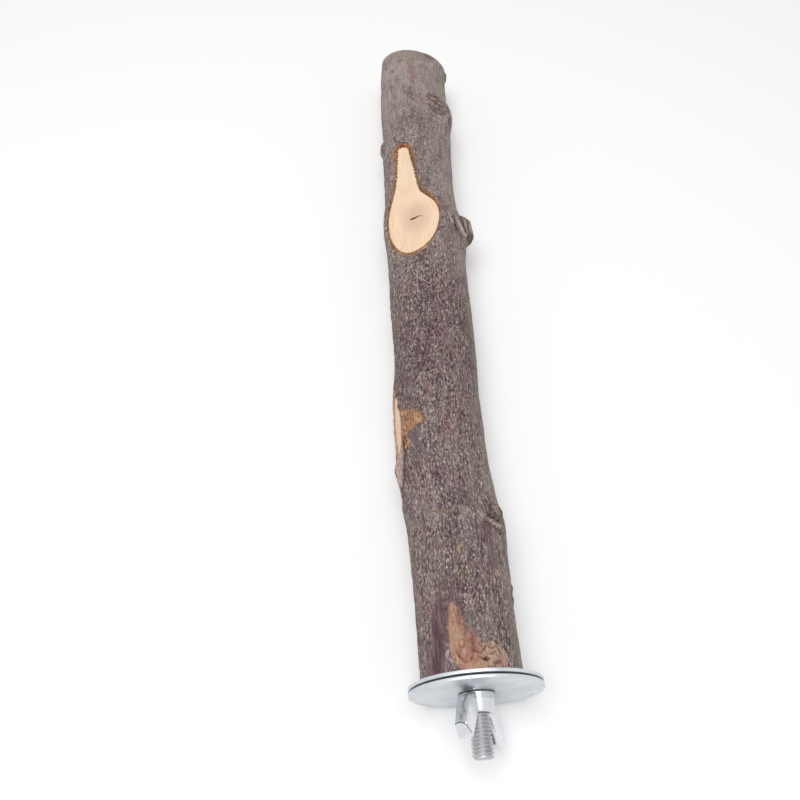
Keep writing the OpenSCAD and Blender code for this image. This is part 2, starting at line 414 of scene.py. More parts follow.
def prepareCut(cut):
    angle = math.radians(cut["turn"])
    cut["normal"] = Vector((math.cos(angle), 0, math.sin(angle)))
    cut["side"] = Vector((math.sin(angle), 0, -math.cos(angle)))
    x, z = branchRow(cut["middle"])[:2]
    cut["origin"] = Vector((x, sawnEnd, z)) + cut["normal"] * cut["level"]
    inner = smoothLoop(cut["rows"], 12)
    area = sum(a[0] * b[1] - b[0] * a[1] for a, b in zip(inner, inner[1:] + inner[:1]))
    outward = 1 if area > 0 else -1
    cut["inner"], cut["outer"], cut["outwards"] = [], [], []
    neckStart, neckLength = cut["neck"]
    for i, (across, along, rim) in enumerate(inner):
        before, after = inner[i - 1], inner[(i + 1) % len(inner)]
        normal = Vector((after[1] - before[1], before[0] - after[0])).normalized() * outward
        wobble = 0.14 * noise.noise(Vector((across * 0.9, along * 0.9, cut["turn"])))
        torn = cut["torn"] * ease((along - neckStart) / neckLength)
        torn *= noise.noise(Vector((across * 1.9, along * 1.9, 7)))
        place = Vector((across, along))
        cut["inner"].append(place + normal * (wobble + 0.8 * torn))
        cut["outer"].append(place + normal * (rim * (1 + wobble) + 0.5 * torn))
        cut["outwards"].append(normal)
    cut["tree"] = kdtree.KDTree(len(inner))
    for i, p in enumerate(cut["outer"]):
        cut["tree"].insert((p.x, p.y, 0), i)
    cut["tree"].balance()
    rowPlaces = [row[1] for row in cut["rows"]]
    cut["reach"] = (min(rowPlaces) - cutReach, max(rowPlaces) + cutReach)


def cutPlace(cut, point):
    # across, along and above the cut's plane
    offset = point - cut["origin"]
    return offset.dot(cut["side"]), offset.y, offset.dot(cut["normal"])


def cutPoint(cut, across, along, height):
    return cut["origin"] + cut["side"] * across + Vector((0, along, 0)) + cut["normal"] * height


def rimDistance(cut, across, along):
    # distance from the cut's outer edge, negative inside, and the flank's width there
    _, index, distance = cut["tree"].find((across, along, 0))
    offset = Vector((across, along)) - cut["outer"][index]
    outwards = cut["outwards"][index]
    flank = mix(cut["flank"][0], cut["flank"][1], abs(outwards.x))
    return (distance if offset.dot(outwards) > 0 else -distance), flank


for cut in (pearCut, sideCut):
    prepareCut(cut)


def shaped(along, turn, radius, wall):
    # a point of the branch, drawn to the edges of the flat cuts.
    # wall is 0 for the bark's outside, or how far the point lies under it.
    point = onBranch(along, turn, radius)
    for cut in (pearCut, sideCut):
        if not cut["reach"][0] < along < cut["reach"][1] or turnBetween(turn, cut["turn"]) > cutTurnReach:
            continue
        outer = onBranch(along, turn, radius + wall)
        across, place, height = cutPlace(cut, outer)
        away, flank = rimDistance(cut, across, place)
        if away > flank:
            continue
        if away > 0:
            target = mix(cut["rimHeight"], height, ease(away / flank))
        else:
            target = cut["rimHeight"] + min(1.2, -away)
        if wall:
            target = min(branch["barkThickness"] + branch["barkGap"] - wall, target - wall)
        point = cutPoint(cut, across, place, target)
    return point


# the marks on the bark

barkTints = {
    "crack": (48, 32, 28), "groove": (74, 40, 28), "redBrown": (112, 62, 44), "shade": (78, 64, 64),
    "pale": (196, 180, 166), "white": (214, 204, 194), "ridge": (196, 168, 136), "tan": (162, 128, 96),
    "knotBrown": (100, 80, 72), "rust": (132, 76, 56), "blueGrey": (92, 82, 92), "foldPink": (222, 192, 180),
    "hollow": (84, 70, 54), "beige": (160, 146, 130), "pinkish": (196, 160, 142), "yellowish": (156, 140, 108),
    "yellow": (186, 156, 84), "olive": (122, 112, 80), "purple": (82, 52, 62), "plum": (88, 50, 56),
    "slate": (120, 110, 116), "reddish": (136, 94, 92), "orange": (204, 146, 98), "golden": (174, 128, 84),
    "paleGold": (220, 172, 118), "greenGrey": (106, 104, 96), "flake": (58, 60, 54), "scarBrown": (188, 146, 120),
    "scarRed": (158, 92, 72), "gnarl": (196, 164, 142), "darkGrey": (98, 84, 84),
}

# strokes, each a groove or fold: tint, strength, half width, depth (below 0 for a fold),
# then along and turn of each of its points
strokes = [
    # torn twig stub: ridges and grooves
    ("white", 0.9, 0.5, -0.25, 169.8, 41.3, 168.1, 38.1, 166.3, 34.6, 164.6, 30.1, 163.6, 22.4),
    ("white", 0.8, 0.4, -0.15, 171.6, 39, 170.4, 38.2),
    ("crack", 1, 0.5, 0.45, 172.9, 30.6, 171.4, 32.2, 168.4, 33, 166.5, 31, 165.2, 27.6, 164.7, 24.5),
    ("pale", 0.9, 0.3, -0.2, 169.7, 30, 167.6, 29.4, 166, 27.2, 165, 23.3),
    ("crack", 1, 0.45, 0.45, 172.1, 24.6, 168.5, 26.8, 166.7, 25.6, 165.8, 24),
    ("foldPink", 0.8, 0.36, -0.2, 170.9, 20.6, 167.7, 22.3, 165.8, 19.5),
    ("crack", 0.9, 0.34, 0.3, 165.9, 21.6, 165.4, 20.6),
    ("hollow", 0.85, 0.5, 0.55, 169.4, 48, 167.4, 44.6, 165.9, 43, 164.7, 38.6, 164, 33.6, 163, 29.5, 162.2, 25.9),
    ("plum", 0.8, 0.4, 0.4, 168.4, 17.2, 166.8, 16.2, 165, 14.6),
    ("pale", 0.9, 0.4, -0.2, 171.8, 22, 169, 18, 166.6, 13, 165.4, 8),
    ("crack", 0.9, 0.38, 0.35, 172.4, 17, 169.4, 12.5, 167.2, 7, 166, 2),
    ("foldPink", 0.7, 0.36, -0.15, 171.6, 11, 169, 6, 167.4, 0), ("crack", 1, 0.45, 0.4, 163.9, 19.5, 163.1, 15.4),
    ("crack", 1, 0.4, 0.35, 163.9, 9.6, 163.4, 6.6),
    ("pale", 0.8, 0.4, -0.2, 162.3, 22.3, 162.4, 13.7, 163, 6, 163.4, 1),
    ("plum", 0.8, 0.42, 0.5, 161, 20, 160.4, 10, 160.6, 3),
    ("pale", 0.7, 0.36, -0.3, 158.5, 33.1, 158, 24.9, 158.1, 17), ("crack", 0.8, 0.34, 0.4, 157.6, 24, 157.2, 22),
    ("crack", 0.8, 0.36, 0.4, 155.4, 35, 153.7, 33, 152.7, 30.6),
    ("crack", 0.7, 0.4, 0.3, 178, 34, 175.2, 26, 174.9, 14, 176, 4),
    # round knot
    ("crack", 1, 0.34, 0.4, 45.1, 52.6, 44.7, 49.6, 44.4, 47, 44, 43.4, 44.1, 39.4),
    ("crack", 1, 0.32, 0.35, 47.6, 53, 46.8, 51.8, 46.3, 50.4),
    ("crack", 0.9, 0.28, 0.3, 46.5, 53, 45.9, 51.4, 45.4, 49.6),
    ("groove", 0.8, 0.26, 0.4, 46, 58, 45.3, 55.7, 44.7, 53.4),
    ("crack", 1, 0.5, 0.3, 49.9, 41, 49.7, 46, 48.9, 50.4, 47.6, 53.6, 46, 54.6, 44.4, 52),
    # painted highlight on the knot's right edge
    ("pale", 0.9, 0.3, -0.15, 48.8, 38, 48.4, 43, 47.6, 47.6),
    ("groove", 0.9, 0.18, 0.35, 48.9, 47.2, 47.7, 47.4, 46.4, 46, 45.2, 43.9),
    ("groove", 0.9, 0.18, 0.35, 48.6, 44.4, 47.3, 44.2, 46.2, 41.6, 45.6, 40.6),
    ("groove", 0.9, 0.16, 0.3, 47.2, 50, 45.9, 48.4, 44.9, 45.6),
    ("crack", 0.9, 0.22, 0.3, 48.2, 41.6, 47.2, 40.4, 46.6, 39.6),
    ("ridge", 0.7, 0.14, -0.15, 48.1, 45.9, 46.9, 45.2, 45.8, 42.9),
    ("ridge", 0.7, 0.14, -0.15, 47.9, 49.4, 46.8, 48.6, 45.7, 46.6),
    ("groove", 0.9, 0.3, 0.3, 48.9, 43, 48.9, 39.6, 47.9, 37.6, 46.6, 37.4),
    ("foldPink", 1, 0.42, -0.35, 43.9, 57.4, 43.4, 53.7, 42.9, 50, 42.5, 46.3, 42.4, 38.9, 42.8, 32),
    ("groove", 1, 0.3, 0.35, 43.1, 58.8, 42.7, 54.4, 42, 50.3, 41.5, 47.5, 41.3, 44.5),
    ("groove", 0.9, 0.26, 0.35, 41.5, 40.5, 40.6, 41.7, 39.9, 39.6, 40.5, 36.4, 41.4, 37),
    # healed lump near the far end
    ("groove", 0.85, 0.42, 0.4, 241, 70.7, 238.2, 62, 236.4, 52, 234.6, 42.3, 235.5, 31.7),
    ("groove", 0.8, 0.38, 0.35, 241.4, 57.6, 239.6, 48.6, 238.2, 40.3, 237, 30.4),
    ("plum", 0.8, 0.4, 0.35, 236.1, 70.2, 232.6, 64.1, 230.4, 57, 230.9, 46.1),
    ("redBrown", 0.8, 0.45, 0.4, 242.8, 65.5, 242.3, 56.6, 242.6, 46.6),
    ("groove", 0.7, 0.4, 0.4, 234.6, 74, 233.8, 62, 232.6, 54),
    ("beige", 0.6, 0.36, -0.2, 240.8, 62, 238.4, 54, 236.9, 44),
    ("reddish", 0.6, 0.36, -0.2, 235.4, 66, 233.2, 59, 232.2, 48),
    ("beige", 0.6, 0.45, -0.25, 239.8, 38, 237, 27, 234.2, 19), ("white", 0.9, 0.5, -0.15, 233.7, 73.5, 233.7, 70),
    ("white", 0.9, 0.45, -0.15, 226.5, 62.5, 226.5, 59.2), ("pale", 0.8, 0.4, -0.1, 228.9, 55, 228.9, 51.8),
    ("yellow", 0.8, 0.45, -0.1, 239.8, 61, 239.9, 57.8), ("yellow", 0.8, 0.5, -0.1, 237.6, 51.5, 237.8, 46.8),
    ("white", 0.8, 0.45, -0.1, 235, 44, 235.2, 40), ("pale", 0.8, 0.45, -0.1, 242.2, 52, 242, 48),
    ("crack", 0.8, 0.4, 0.25, 238.9, 68, 237.6, 71), ("crack", 0.7, 0.4, 0.25, 234.4, 57, 233.2, 52),
    ("crack", 0.7, 0.36, 0.2, 232.6, 66, 231.4, 69), ("crack", 0.7, 0.4, 0.2, 236.4, 36, 234.8, 33),
    ("beige", 0.6, 0.5, -0.1, 226.6, 86, 226.6, 82.5),
    # flake at the far end's right edge, and dark flecks there
    ("flake", 1, 0.9, -0.9, 269, 15, 266.4, 12, 263.2, 15.6), ("darkGrey", 0.9, 0.5, 0.15, 263.4, 147, 262.9, 144),
    ("shade", 1, 0.5, 0.2, 259.4, 132, 258, 129.5), ("darkGrey", 0.8, 0.4, 0.2, 254.6, 141, 250.4, 136, 247.6, 133.4),
    ("darkGrey", 0.7, 0.5, 0.1, 252.5, 124, 251, 121), ("darkGrey", 0.8, 0.5, 0.15, 247.5, 109.3, 242.9, 108.6),
    ("darkGrey", 0.8, 0.6, 0.2, 244.9, 98.6, 240.6, 98.6, 236.8, 98),
    ("darkGrey", 0.7, 0.5, 0.15, 243.9, 81, 243.4, 78), ("shade", 0.9, 0.6, 0.2, 242.4, 66.8, 241, 64.8),
    ("darkGrey", 0.6, 0.5, 0.1, 228.6, 108.6, 221.6, 108.4),
    # bud scar on the left
    ("crack", 0.9, 0.4, 0.45, 218.9, 158.8, 217.4, 163.5, 216.6, 170),
    ("crack", 0.8, 0.38, 0.4, 217.2, 169.5, 213.6, 168, 211.4, 162),
    ("beige", 0.7, 0.35, -0.2, 215.6, 163.8, 213.8, 158.6), ("crack", 0.9, 0.4, 0.3, 207.4, 136.8, 206.6, 134.9),
    # crack above the pear-shaped cut, and the flap of bark at its neck
    ("crack", 1, 0.4, 0.5, 216.6, 133, 213.9, 131.6, 212, 126, 211, 120, 210.2, 114, 209.6, 108.5),
    ("crack", 0.7, 0.3, 0.35, 209.4, 107, 206, 103, 202.4, 101, 198, 99.6, 193, 97, 187, 95),
    ("golden", 0.7, 0.5, -0.25, 184.2, 92, 181.8, 88.4, 180.2, 85.9, 179.9, 82.8),
    ("olive", 0.7, 0.6, -0.1, 205, 103, 200.5, 99, 195, 96),
    # flat cut on the left: the band above the torn patch, and the flap under it
    ("shade", 0.8, 0.9, 0.2, 89.4, 142, 88.6, 132, 87, 120),
    ("groove", 0.9, 0.35, 0.35, 76.1, 147.4, 75.4, 144.4, 76.1, 139.6, 76.8, 132, 77.3, 124, 79, 115),
    ("crack", 0.9, 0.35, 0.35, 75.4, 144.4, 73.4, 141.1, 71.6, 141.2, 71, 144.6),
    ("crack", 1, 0.42, 0.5, 74.9, 149, 73.6, 146.6),
    ("paleGold", 0.8, 0.26, -0.2, 84.6, 146, 81.9, 142.5, 79.9, 138.3, 78.2, 133),
    ("redBrown", 0.8, 0.3, 0.15, 85.6, 140, 84.9, 132, 83.6, 123, 82, 115.6, 79.8, 111.8),
    ("redBrown", 0.6, 0.2, 0.15, 83.6, 150, 83, 143, 81.6, 136.6),
    ("paleGold", 0.7, 0.22, -0.15, 82.6, 131, 81.2, 126, 80.8, 121),
    ("redBrown", 0.8, 0.2, 0.2, 78.6, 146, 77.4, 140, 77.8, 134),
    ("foldPink", 0.9, 0.24, -0.2, 73.4, 152, 71.8, 147, 72.2, 141, 73.6, 137),
    ("scarRed", 0.8, 0.26, 0.15, 71.4, 150, 70.6, 143, 71.4, 136, 73.2, 132.6),
    ("redBrown", 0.6, 0.3, 0.2, 84.9, 133, 82.4, 129, 79.6, 128),
    ("paleGold", 0.7, 0.24, -0.2, 80.6, 148, 78.6, 142, 77.4, 136),
    ("paleGold", 0.8, 0.55, -0.1, 80.2, 124, 79.3, 119, 78.8, 115),
    ("redBrown", 0.9, 0.3, 0.25, 77.4, 122, 78, 115, 79.4, 110.6),
    ("groove", 1, 0.36, 0.3, 74.4, 149, 70, 147, 66, 149, 62.4, 154, 60, 163, 59.4, 176),
    ("white", 0.7, 0.3, -0.2, 73, 153.6, 69.6, 151.8, 66, 154, 62.8, 159.6),
    ("crack", 1, 0.5, 0.3, 69.4, 176, 67.4, 176.6, 65.6, 176),
    ("crack", 1, 0.42, 0.3, 62.4, 178, 61, 173.6, 59.8, 170),
    # furrows
    ("crack", 0.8, 0.26, 0.5, 85.2, 69.8, 82.4, 69.7), ("pale", 0.7, 0.26, -0.2, 86.7, 72.9, 84.6, 72.1, 82, 71.8),
    ("crack", 0.9, 0.28, 0.5, 81.4, 68.1, 78.8, 67.8), ("crack", 0.8, 0.26, 0.4, 79, 64.3, 77.3, 63.2),
    ("crack", 0.9, 0.26, 0.45, 26.5, 100, 23.8, 99.5), ("crack", 0.7, 0.26, 0.4, 26.7, 45.4, 23.9, 45.5),
    ("crack", 0.7, 0.26, 0.35, 31, 100.6, 30.6, 97.4), ("crack", 0.7, 0.28, 0.4, 43.6, 149.5, 41, 151.1),
    ("crack", 0.7, 0.28, 0.4, 38.3, 129.1, 35.7, 130.2), ("crack", 0.7, 0.26, 0.4, 22.9, 62.4, 19.8, 63.4),
    ("crack", 0.9, 0.28, 0.5, 21.7, 48.6, 19, 48.9), ("shade", 0.8, 0.22, 0.3, 14.4, 45.9, 10.3, 46.1, 7.6, 45.2),
    ("crack", 0.7, 0.24, 0.35, 10.3, 41.4, 7.6, 41.8), ("crack", 0.9, 0.34, 0.3, 49.9, 65.6, 49.9, 63.6),
    ("crack", 0.9, 0.34, 0.3, 48.2, 71.4, 47.8, 69.4), ("crack", 0.8, 0.28, 0.2, 47.9, 87, 47.9, 85),
    ("crack", 0.7, 0.24, 0.2, 44.8, 76.4, 44.6, 72.6), ("shade", 0.9, 0.4, 0.3, 42.1, 99.9, 41, 98.9),
    ("shade", 0.9, 0.4, 0.25, 38.9, 92.4, 38, 91.4), ("pale", 0.8, 0.3, -0.15, 46.9, 88.8, 47.3, 81.3),
    ("pale", 0.7, 0.3, -0.15, 45.1, 75, 45.7, 68),
    # furrow and torn edge by the washers, on the left
    ("crack", 1, 0.5, 0.35, 14.5, 166, 10.8, 167, 8, 167, 5, 167.6, 1.5, 167),
    ("pinkish", 0.8, 0.5, -0.2, 13, 172, 8, 174, 1, 174),
    # bumps on the right edge by the washers
    ("shade", 1, 0.7, -0.6, 25.8, 17, 24.6, 15), ("shade", 0.9, 0.6, -0.5, 22.6, 17.6, 21.4, 16),
    # scar by the washers
    ("plum", 0.8, 0.7, 0.1, 18.8, 114.6, 13.3, 118, 9.6, 118.4),
    ("redBrown", 0.4, 0.16, 0.1, 14.3, 114.5, 14.1, 108, 14.6, 103),
    ("reddish", 0.8, 0.55, -0.15, 17.6, 101.4, 14.9, 99, 12.6, 95.6, 10.4, 92),
    ("scarRed", 0.9, 0.5, 0.15, 9.6, 89.4, 8, 85, 6.9, 80),
    ("redBrown", 0.55, 0.2, 0.12, 7.6, 106, 6.8, 103.6, 6.9, 100.4, 7.8, 98.6, 8.8, 99.8, 8.9, 103),
    ("orange", 0.6, 0.3, -0.15, 7.3, 107, 8.2, 104.3, 8.5, 101, 7.9, 97.4, 6.7, 96.4),
    ("paleGold", 0.6, 0.24, -0.25, 5.4, 112.6, 3.5, 108.2, 2.4, 103.1, 2.1, 97.7, 2.7, 92.1, 4, 88.7, 4.9, 87.5),
    ("scarRed", 0.9, 0.22, 0.25, 6.1, 109.4, 4.4, 106.2, 3.3, 101.9, 3.1, 96.5, 3.9, 92.4),
    ("white", 0.8, 0.36, -0.35, 6.4, 117.2, 5.6, 119.6, 4.7, 119.4, 3.9, 116.7, 3.3, 113.2),
    ("greenGrey", 0.7, 0.3, 0.3, 1.6, 116, 1, 110, 0.8, 103),
    ("redBrown", 0.9, 0.24, 0.25, 5.9, 90.5, 5.5, 87.2, 5, 83, 6, 78.4, 7.1, 75.5),
    ("redBrown", 0.8, 0.22, 0.25, 4, 84.6, 3.3, 80, 3.9, 76.4),
    ("beige", 0.9, 0.28, -0.3, 8.6, 81.3, 9.5, 74.2, 9.4, 67.3, 8.8, 62.2, 7.9, 58),
    ("groove", 0.7, 0.2, 0.2, 7.9, 77.4, 8.6, 70.3, 8.3, 64.3, 7.4, 59.6),
    ("groove", 0.9, 0.28, 0.25, 7, 54.4, 6, 48.5, 4.7, 46.1, 3.1, 47.4, 1.8, 50),
    ("redBrown", 0.9, 0.24, 0.4, 3.5, 79.1, 3.1, 76, 3.7, 73.2),
    ("redBrown", 0.8, 0.2, 0.2, 4.6, 72.3, 4.9, 68.2, 5.5, 65.1),
    ("redBrown", 0.8, 0.18, 0.2, 6.6, 72, 6.2, 68, 6.9, 64), ("redBrown", 0.8, 0.2, 0.2, 2.6, 70, 2.2, 65.6, 3, 61.4),
    ("redBrown", 0.7, 0.2, 0.2, 5.8, 61, 4.8, 57.6, 3.6, 56),
    ("redBrown", 0.7, 0.2, 0.2, 1.4, 76, 0.9, 70.6, 1.2, 66), ("pale", 0.6, 0.22, -0.2, 7.4, 67, 6.4, 62.6, 5.2, 60),
    ("pale", 0.6, 0.22, -0.2, 3.8, 67, 3.6, 63, 4.4, 58.8), ("pale", 0.5, 0.22, -0.2, 1.6, 62, 1.9, 57, 2.6, 53.4),
    ("white", 0.8, 0.3, -0.15, 21.2, 100.4, 21.2, 96), ("white", 0.8, 0.36, -0.15, 21.1, 92, 20.8, 88.4),
    ("white", 0.8, 0.3, -0.12, 18.9, 92.4, 18.9, 90.6), ("white", 0.8, 0.28, -0.12, 19.2, 87, 18.3, 86.2),
    ("white", 0.8, 0.24, -0.15, 16.9, 90, 16.9, 84.6), ("pinkish", 0.7, 0.34, -0.12, 19.6, 113.4, 19, 116),
    ("pinkish", 0.6, 0.4, -0.12, 22.4, 117.2, 21.4, 118.6),
]

# patches: tint, strength, edge width, depth, how fibrous, then along and turn of each outline point
patches = [
    # torn inner bark beside the flat cut
    ("golden", 1, 0.5, 0.35, 1, 86.4, 153, 85.8, 146.1, 85.4, 139.1, 84.4, 129.6, 83, 118, 81.2, 112.3, 79.1, 111.2,
     77.8, 115.3, 77.2, 124, 76.6, 133.7, 76, 139.7, 74, 133.7, 71.7, 131.9, 70.8, 138.8, 70.1, 148.3, 69.5, 157.6,
     69, 162, 76, 156),
    # pale flap under the flat cut
    ("foldPink", 0.9, 0.6, -0.1, 0.1, 74, 153, 70, 151, 66, 153, 62.6, 158.6, 60.6, 168, 61, 186, 66, 192, 72, 186,
     74, 168),
    # smooth bark right of the torn part
    ("blueGrey", 0.85, 0.9, 0.1, 0, 76.8, 132.5, 76.6, 121, 73.6, 118, 71.4, 124, 72.4, 131, 74.4, 132.6),
    # scar by the washers: its tongue
    ("scarBrown", 1, 1, 0.3, 0.12, 19.6, 108, 18.8, 111.3, 15.8, 114, 13.5, 116.5, 11.5, 116.1, 9.1, 116.4, 6.7,
     115.8, 5.1, 114.9, 3.5, 112.3, 2.4, 109.5, 1, 105.9, -1, 92.8, -1, 80.2, 3.5, 77.4, 6.2, 76.8, 7.5, 77.7, 8.6,
     83.6, 9.8, 88.5, 11.1, 91.9, 13.1, 94.8, 15.2, 98.6, 16.6, 99.7, 18, 102.9),
    # its gnarled part
    ("gnarl", 1, 0.6, 0.1, 0.7, 8.1, 76.5, 8.6, 70.4, 8, 63.5, 7, 57.5, 5.7, 50.6, 4.4, 48.2, 2.6, 50.3, -1, 53.5, -1,
     80.3, 3.5, 78.3, 5.4, 78.8, 6.8, 76.5),
    # the round knot's face
    ("knotBrown", 0.9, 0.5, 0, 0, 48.9, 48.7, 49.4, 43.5, 49, 38, 47.3, 35.6, 45.2, 37.6, 44.3, 42.2, 44.6, 48, 45.8,
     52.4, 47.8, 52.4),
    # the torn face of the twig stub
    ("hollow", 0.8, 1, 0, 0.4, 173.4, 37, 174.4, 26, 173, 14, 169, 6, 165, -2, 162.6, 4, 162.4, 18, 163.2, 28, 165,
     38, 168.6, 44),
]

# soft spots: along, turn, half length, half reach in degrees, tint, strength, how smooth
spots = [
    (19, 121, 9, 13, "purple", 0.95, 0.9), (11, 128, 10, 14, "purple", 1, 0.95), (4, 134, 9, 22, "purple", 1, 0.95),
    (23.6, 110, 6, 16, "purple", 0.9, 0.6), (20, 100, 3, 7, "plum", 0.7, 0.5), (18.6, 100, 3, 6, "plum", 0.6, 0.5),
    (15.2, 90.5, 3, 6, "greenGrey", 0.8, 0.5), (24, 134.5, 3.2, 7, "pinkish", 0.4, 0.2),
    (12.3, 73.5, 4, 7, "slate", 0.5, 0.2), (40.6, 43.5, 3.6, 7, "tan", 0.7, 0.3),
    (40.6, 60.4, 3.6, 8, "purple", 0.9, 0.5), (34, 55, 9, 8, "purple", 0.8, 0.8),
    # the spot at 48.5 is painted shade in a recess by the knot, the one at 162 painted shade in a hollow of the twig
    # stub
    (48.5, 54.6, 2.4, 7, "shade", 0.8, 0.2), (162, 29.6, 2, 5, "hollow", 0.8, 0.3),
    (160, 40, 6, 12, "olive", 0.4, 0.3), (45.2, 82.9, 4.2, 14, "beige", 0.7, 0.4), (38, 78, 7, 16, "slate", 0.5, 0.5),
    (51.2, 80.9, 3.6, 12, "darkGrey", 0.7, 0.3), (47, 108.8, 2.2, 4.5, "yellow", 0.6, 0),
    (34.6, 91.6, 3, 6, "yellow", 0.5, 0), (28, 92, 5, 8, "yellowish", 0.4, 0),
    (67, 124, 8, 13, "blueGrey", 0.75, 0.6), (93, 140, 6, 16, "blueGrey", 0.5, 0.2),
    (88.6, 133, 4.6, 17, "plum", 0.5, 0.3), (77, 102, 4, 9, "slate", 0.6, 0.5), (105, 82, 8, 8, "darkGrey", 0.7, 0.5),
    (73.4, 90, 5, 13, "reddish", 0.5, 0.2), (84.5, 75.2, 6, 12, "reddish", 0.4, 0.2),
    (103, 118, 10, 22, "shade", 0.35, 0), (79, 46, 12, 12, "yellowish", 0.45, 0.4),
    (28, 42, 12, 8, "yellowish", 0.35, 0.3), (80, 168, 9, 7, "beige", 0.3, 0.3), (62, 120, 9, 26, "reddish", 0.3, 0),
    (56, 100, 8, 18, "slate", 0.35, 0), (158, 52, 3, 8, "olive", 0.6, 0.2), (165, 60, 4, 8, "olive", 0.4, 0.2),
    (150, 60, 9, 20, "tan", 0.3, 0.2), (188, 160, 26, 22, "greenGrey", 0.3, 0.2), (236, 50, 8.5, 22, "plum", 0.6, 0),
    (231, 24, 4, 14, "shade", 0.7, 0.4), (254, 36, 12, 12, "yellowish", 0.75, 0.8),
    (269, 110, 5, 46, "beige", 0.8, 0.8), (268.6, 70.1, 5, 16, "slate", 0.5, 0.7),
    (225.2, 94.8, 7, 14, "slate", 0.6, 0.3), (240, 100, 10, 10, "slate", 0.4, 0.3),
    (216, 166, 4, 12, "shade", 0.5, 0), (226.6, 84.1, 6, 8, "beige", 0.35, 0.3), (184, 85, 6, 9, "purple", 0.45, 0.2),
    (206, 64, 20, 26, "beige", 0.3, 0.4),
]
# and those that lie over the patches
scarSpots = [
    (8.6, 88, 4.4, 8, "rust", 0.85, 0.6), (4.8, 96, 5.4, 15, "scarRed", 0.8, 0.8),
    (17, 104, 4, 4, "scarRed", 0.4, 0.7), (11.4, 96, 4.6, 4, "rust", 0.6, 0.6),
    (14.5, 101, 4, 4, "scarRed", 0.7, 0.6), (15.5, 109, 4, 4, "golden", 0.4, 0.6),
    (5.8, 99.6, 1.3, 3.4, "foldPink", 0.45, 0.7), (1.6, 66, 2.4, 16, "golden", 0.5, 0.2),
    (79.6, 119, 2.2, 7, "paleGold", 0.6, 0.3), (82, 142, 4, 8, "knotBrown", 0.3, 0.3),
    (171.5, 32, 3, 14, "pinkish", 0.5, 0.2), (165, 4, 3, 10, "plum", 0.6, 0.2),
]

# pale flecks in the bark: along and turn
flecks = [
    (103, 88.6), (101.3, 122.1), (106.1, 127.3), (96.6, 89.6), (95.7, 92.7), (91.4, 73), (89.9, 80.7), (91.4, 131.2),
    (89.2, 124.4), (79.1, 97.7), (77.9, 89.1), (83.4, 89.2), (75.9, 72.4), (73, 71.6), (81.2, 102.9), (96.4, 80.1),
    (92.4, 111.8), (86.4, 96.5), (232.7, 90.2), (232.4, 97.8),
]
# where the bark gets finer facets, one zone after another: low and high along, low and high turn
fineZones = [
    (0, 26, 38, 138), (0, 20.5, 44, 120), (38, 54, 22, 66), (39.5, 50.5, 30, 58), (59, 92, 106, 190),
    (68, 81, 112, 168), (204, 219, 92, 140), (150, 182, -12, 60), (161, 177, -8, 50), (224, 248, 8, 80),
    (208, 221, 150, 182), (0, 16, 168, 184),
]


def girthAt(turn):
    return branch["radius"] * math.radians(turn)


class Mark:
    # something on the bark, placed by points of (along, girth); weight says how much of it is at a point
    depth = fibrous = 0.0
    cuts = False

    def __init__(self, tint, strength, margin, places):
        self.tint = Vector(srgb(*barkTints[tint])[:3])
        self.strength = strength
        self.points = [Vector((along, girthAt(turn))) for along, turn in zip(places[::2], places[1::2])]
        self.low = Vector([min(p[axis] for p in self.points) - margin for axis in (0, 1)])
        self.high = Vector([max(p[axis] for p in self.points) + margin for axis in (0, 1)])

    def holds(self, p):
        return self.low.x < p.x < self.high.x and self.low.y < p.y < self.high.y


class Stroke(Mark):
    smooth = 0.6
    cuts = True

    def __init__(self, tint, strength, width, depth, *places):
        super().__init__(tint, strength, width * 2.2, places)
        self.width, self.depth = width, depth

    def weight(self, p):
        if not self.holds(p):
            return 0
        away = min(awayFrom(p, a, b - a) for a, b in zip(self.points, self.points[1:]))
        return math.exp(-(away / self.width) ** 2)


class Patch(Mark):
    smooth = 0.8

    def __init__(self, tint, strength, edge, depth, fibrous, *places):
        super().__init__(tint, strength, 1, places)
        self.edge, self.depth, self.fibrous = edge, depth, fibrous

    def weight(self, p):
        if not self.holds(p):
            return 0
        p = p + 0.4 * Vector([noise.noise(Vector((p.x * 1.3, p.y * 1.3, seed))) for seed in (3, 8)])
        away, inside = 99, False
        for a, b in zip(self.points, self.points[1:] + self.points[:1]):
            line = b - a
            away = min(away, awayFrom(p, a, line))
            if (a.y > p.y) != (b.y > p.y) and p.x < a.x + line.x * (p.y - a.y) / line.y:
                inside = not inside
        return ease(0.5 + (away if inside else -away) / self.edge)


class Spot(Mark):
    def __init__(self, place, turn, length, reach, tint, strength, smooth):
        super().__init__(tint, strength, 0, (place, turn))
        self.place, self.turn, self.length, self.reach, self.smooth = place, turn, length, reach, smooth
        self.low, self.high = Vector((place - length, 0)), Vector((place + length, 0))

    def weight(self, p):
        turn = math.degrees(p.y / branch["radius"])
        drift = 0.5 * noise.noise(Vector((p.x * 0.35, p.y * 0.35, self.place)))
        q = ((p.x - self.place) / self.length) ** 2 + (turnBetween(turn, self.turn) / self.reach) ** 2 + drift
        return 0 if q >= 1 else ease(1 - max(q, 0))


# later marks lie over earlier ones
marks = [Spot(*row) for row in spots] + [Patch(*row) for row in patches] + [Spot(*row) for row in scarSpots]
marks += [Stroke("white", 0.85, 0.3, -0.12, along - 0.3, turn, along + 0.3, turn + 1.4) for along, turn in flecks]
marks += [Stroke(*row) for row in strokes]

# the marks that can reach each short length of the branch
markRowLength = 4
markRows = {}
for mark in marks:
    first, last = (math.floor(end.x / markRowLength) for end in (mark.low, mark.high))
    for row in range(first, last + 1):
        markRows.setdefault(row, []).append(mark)


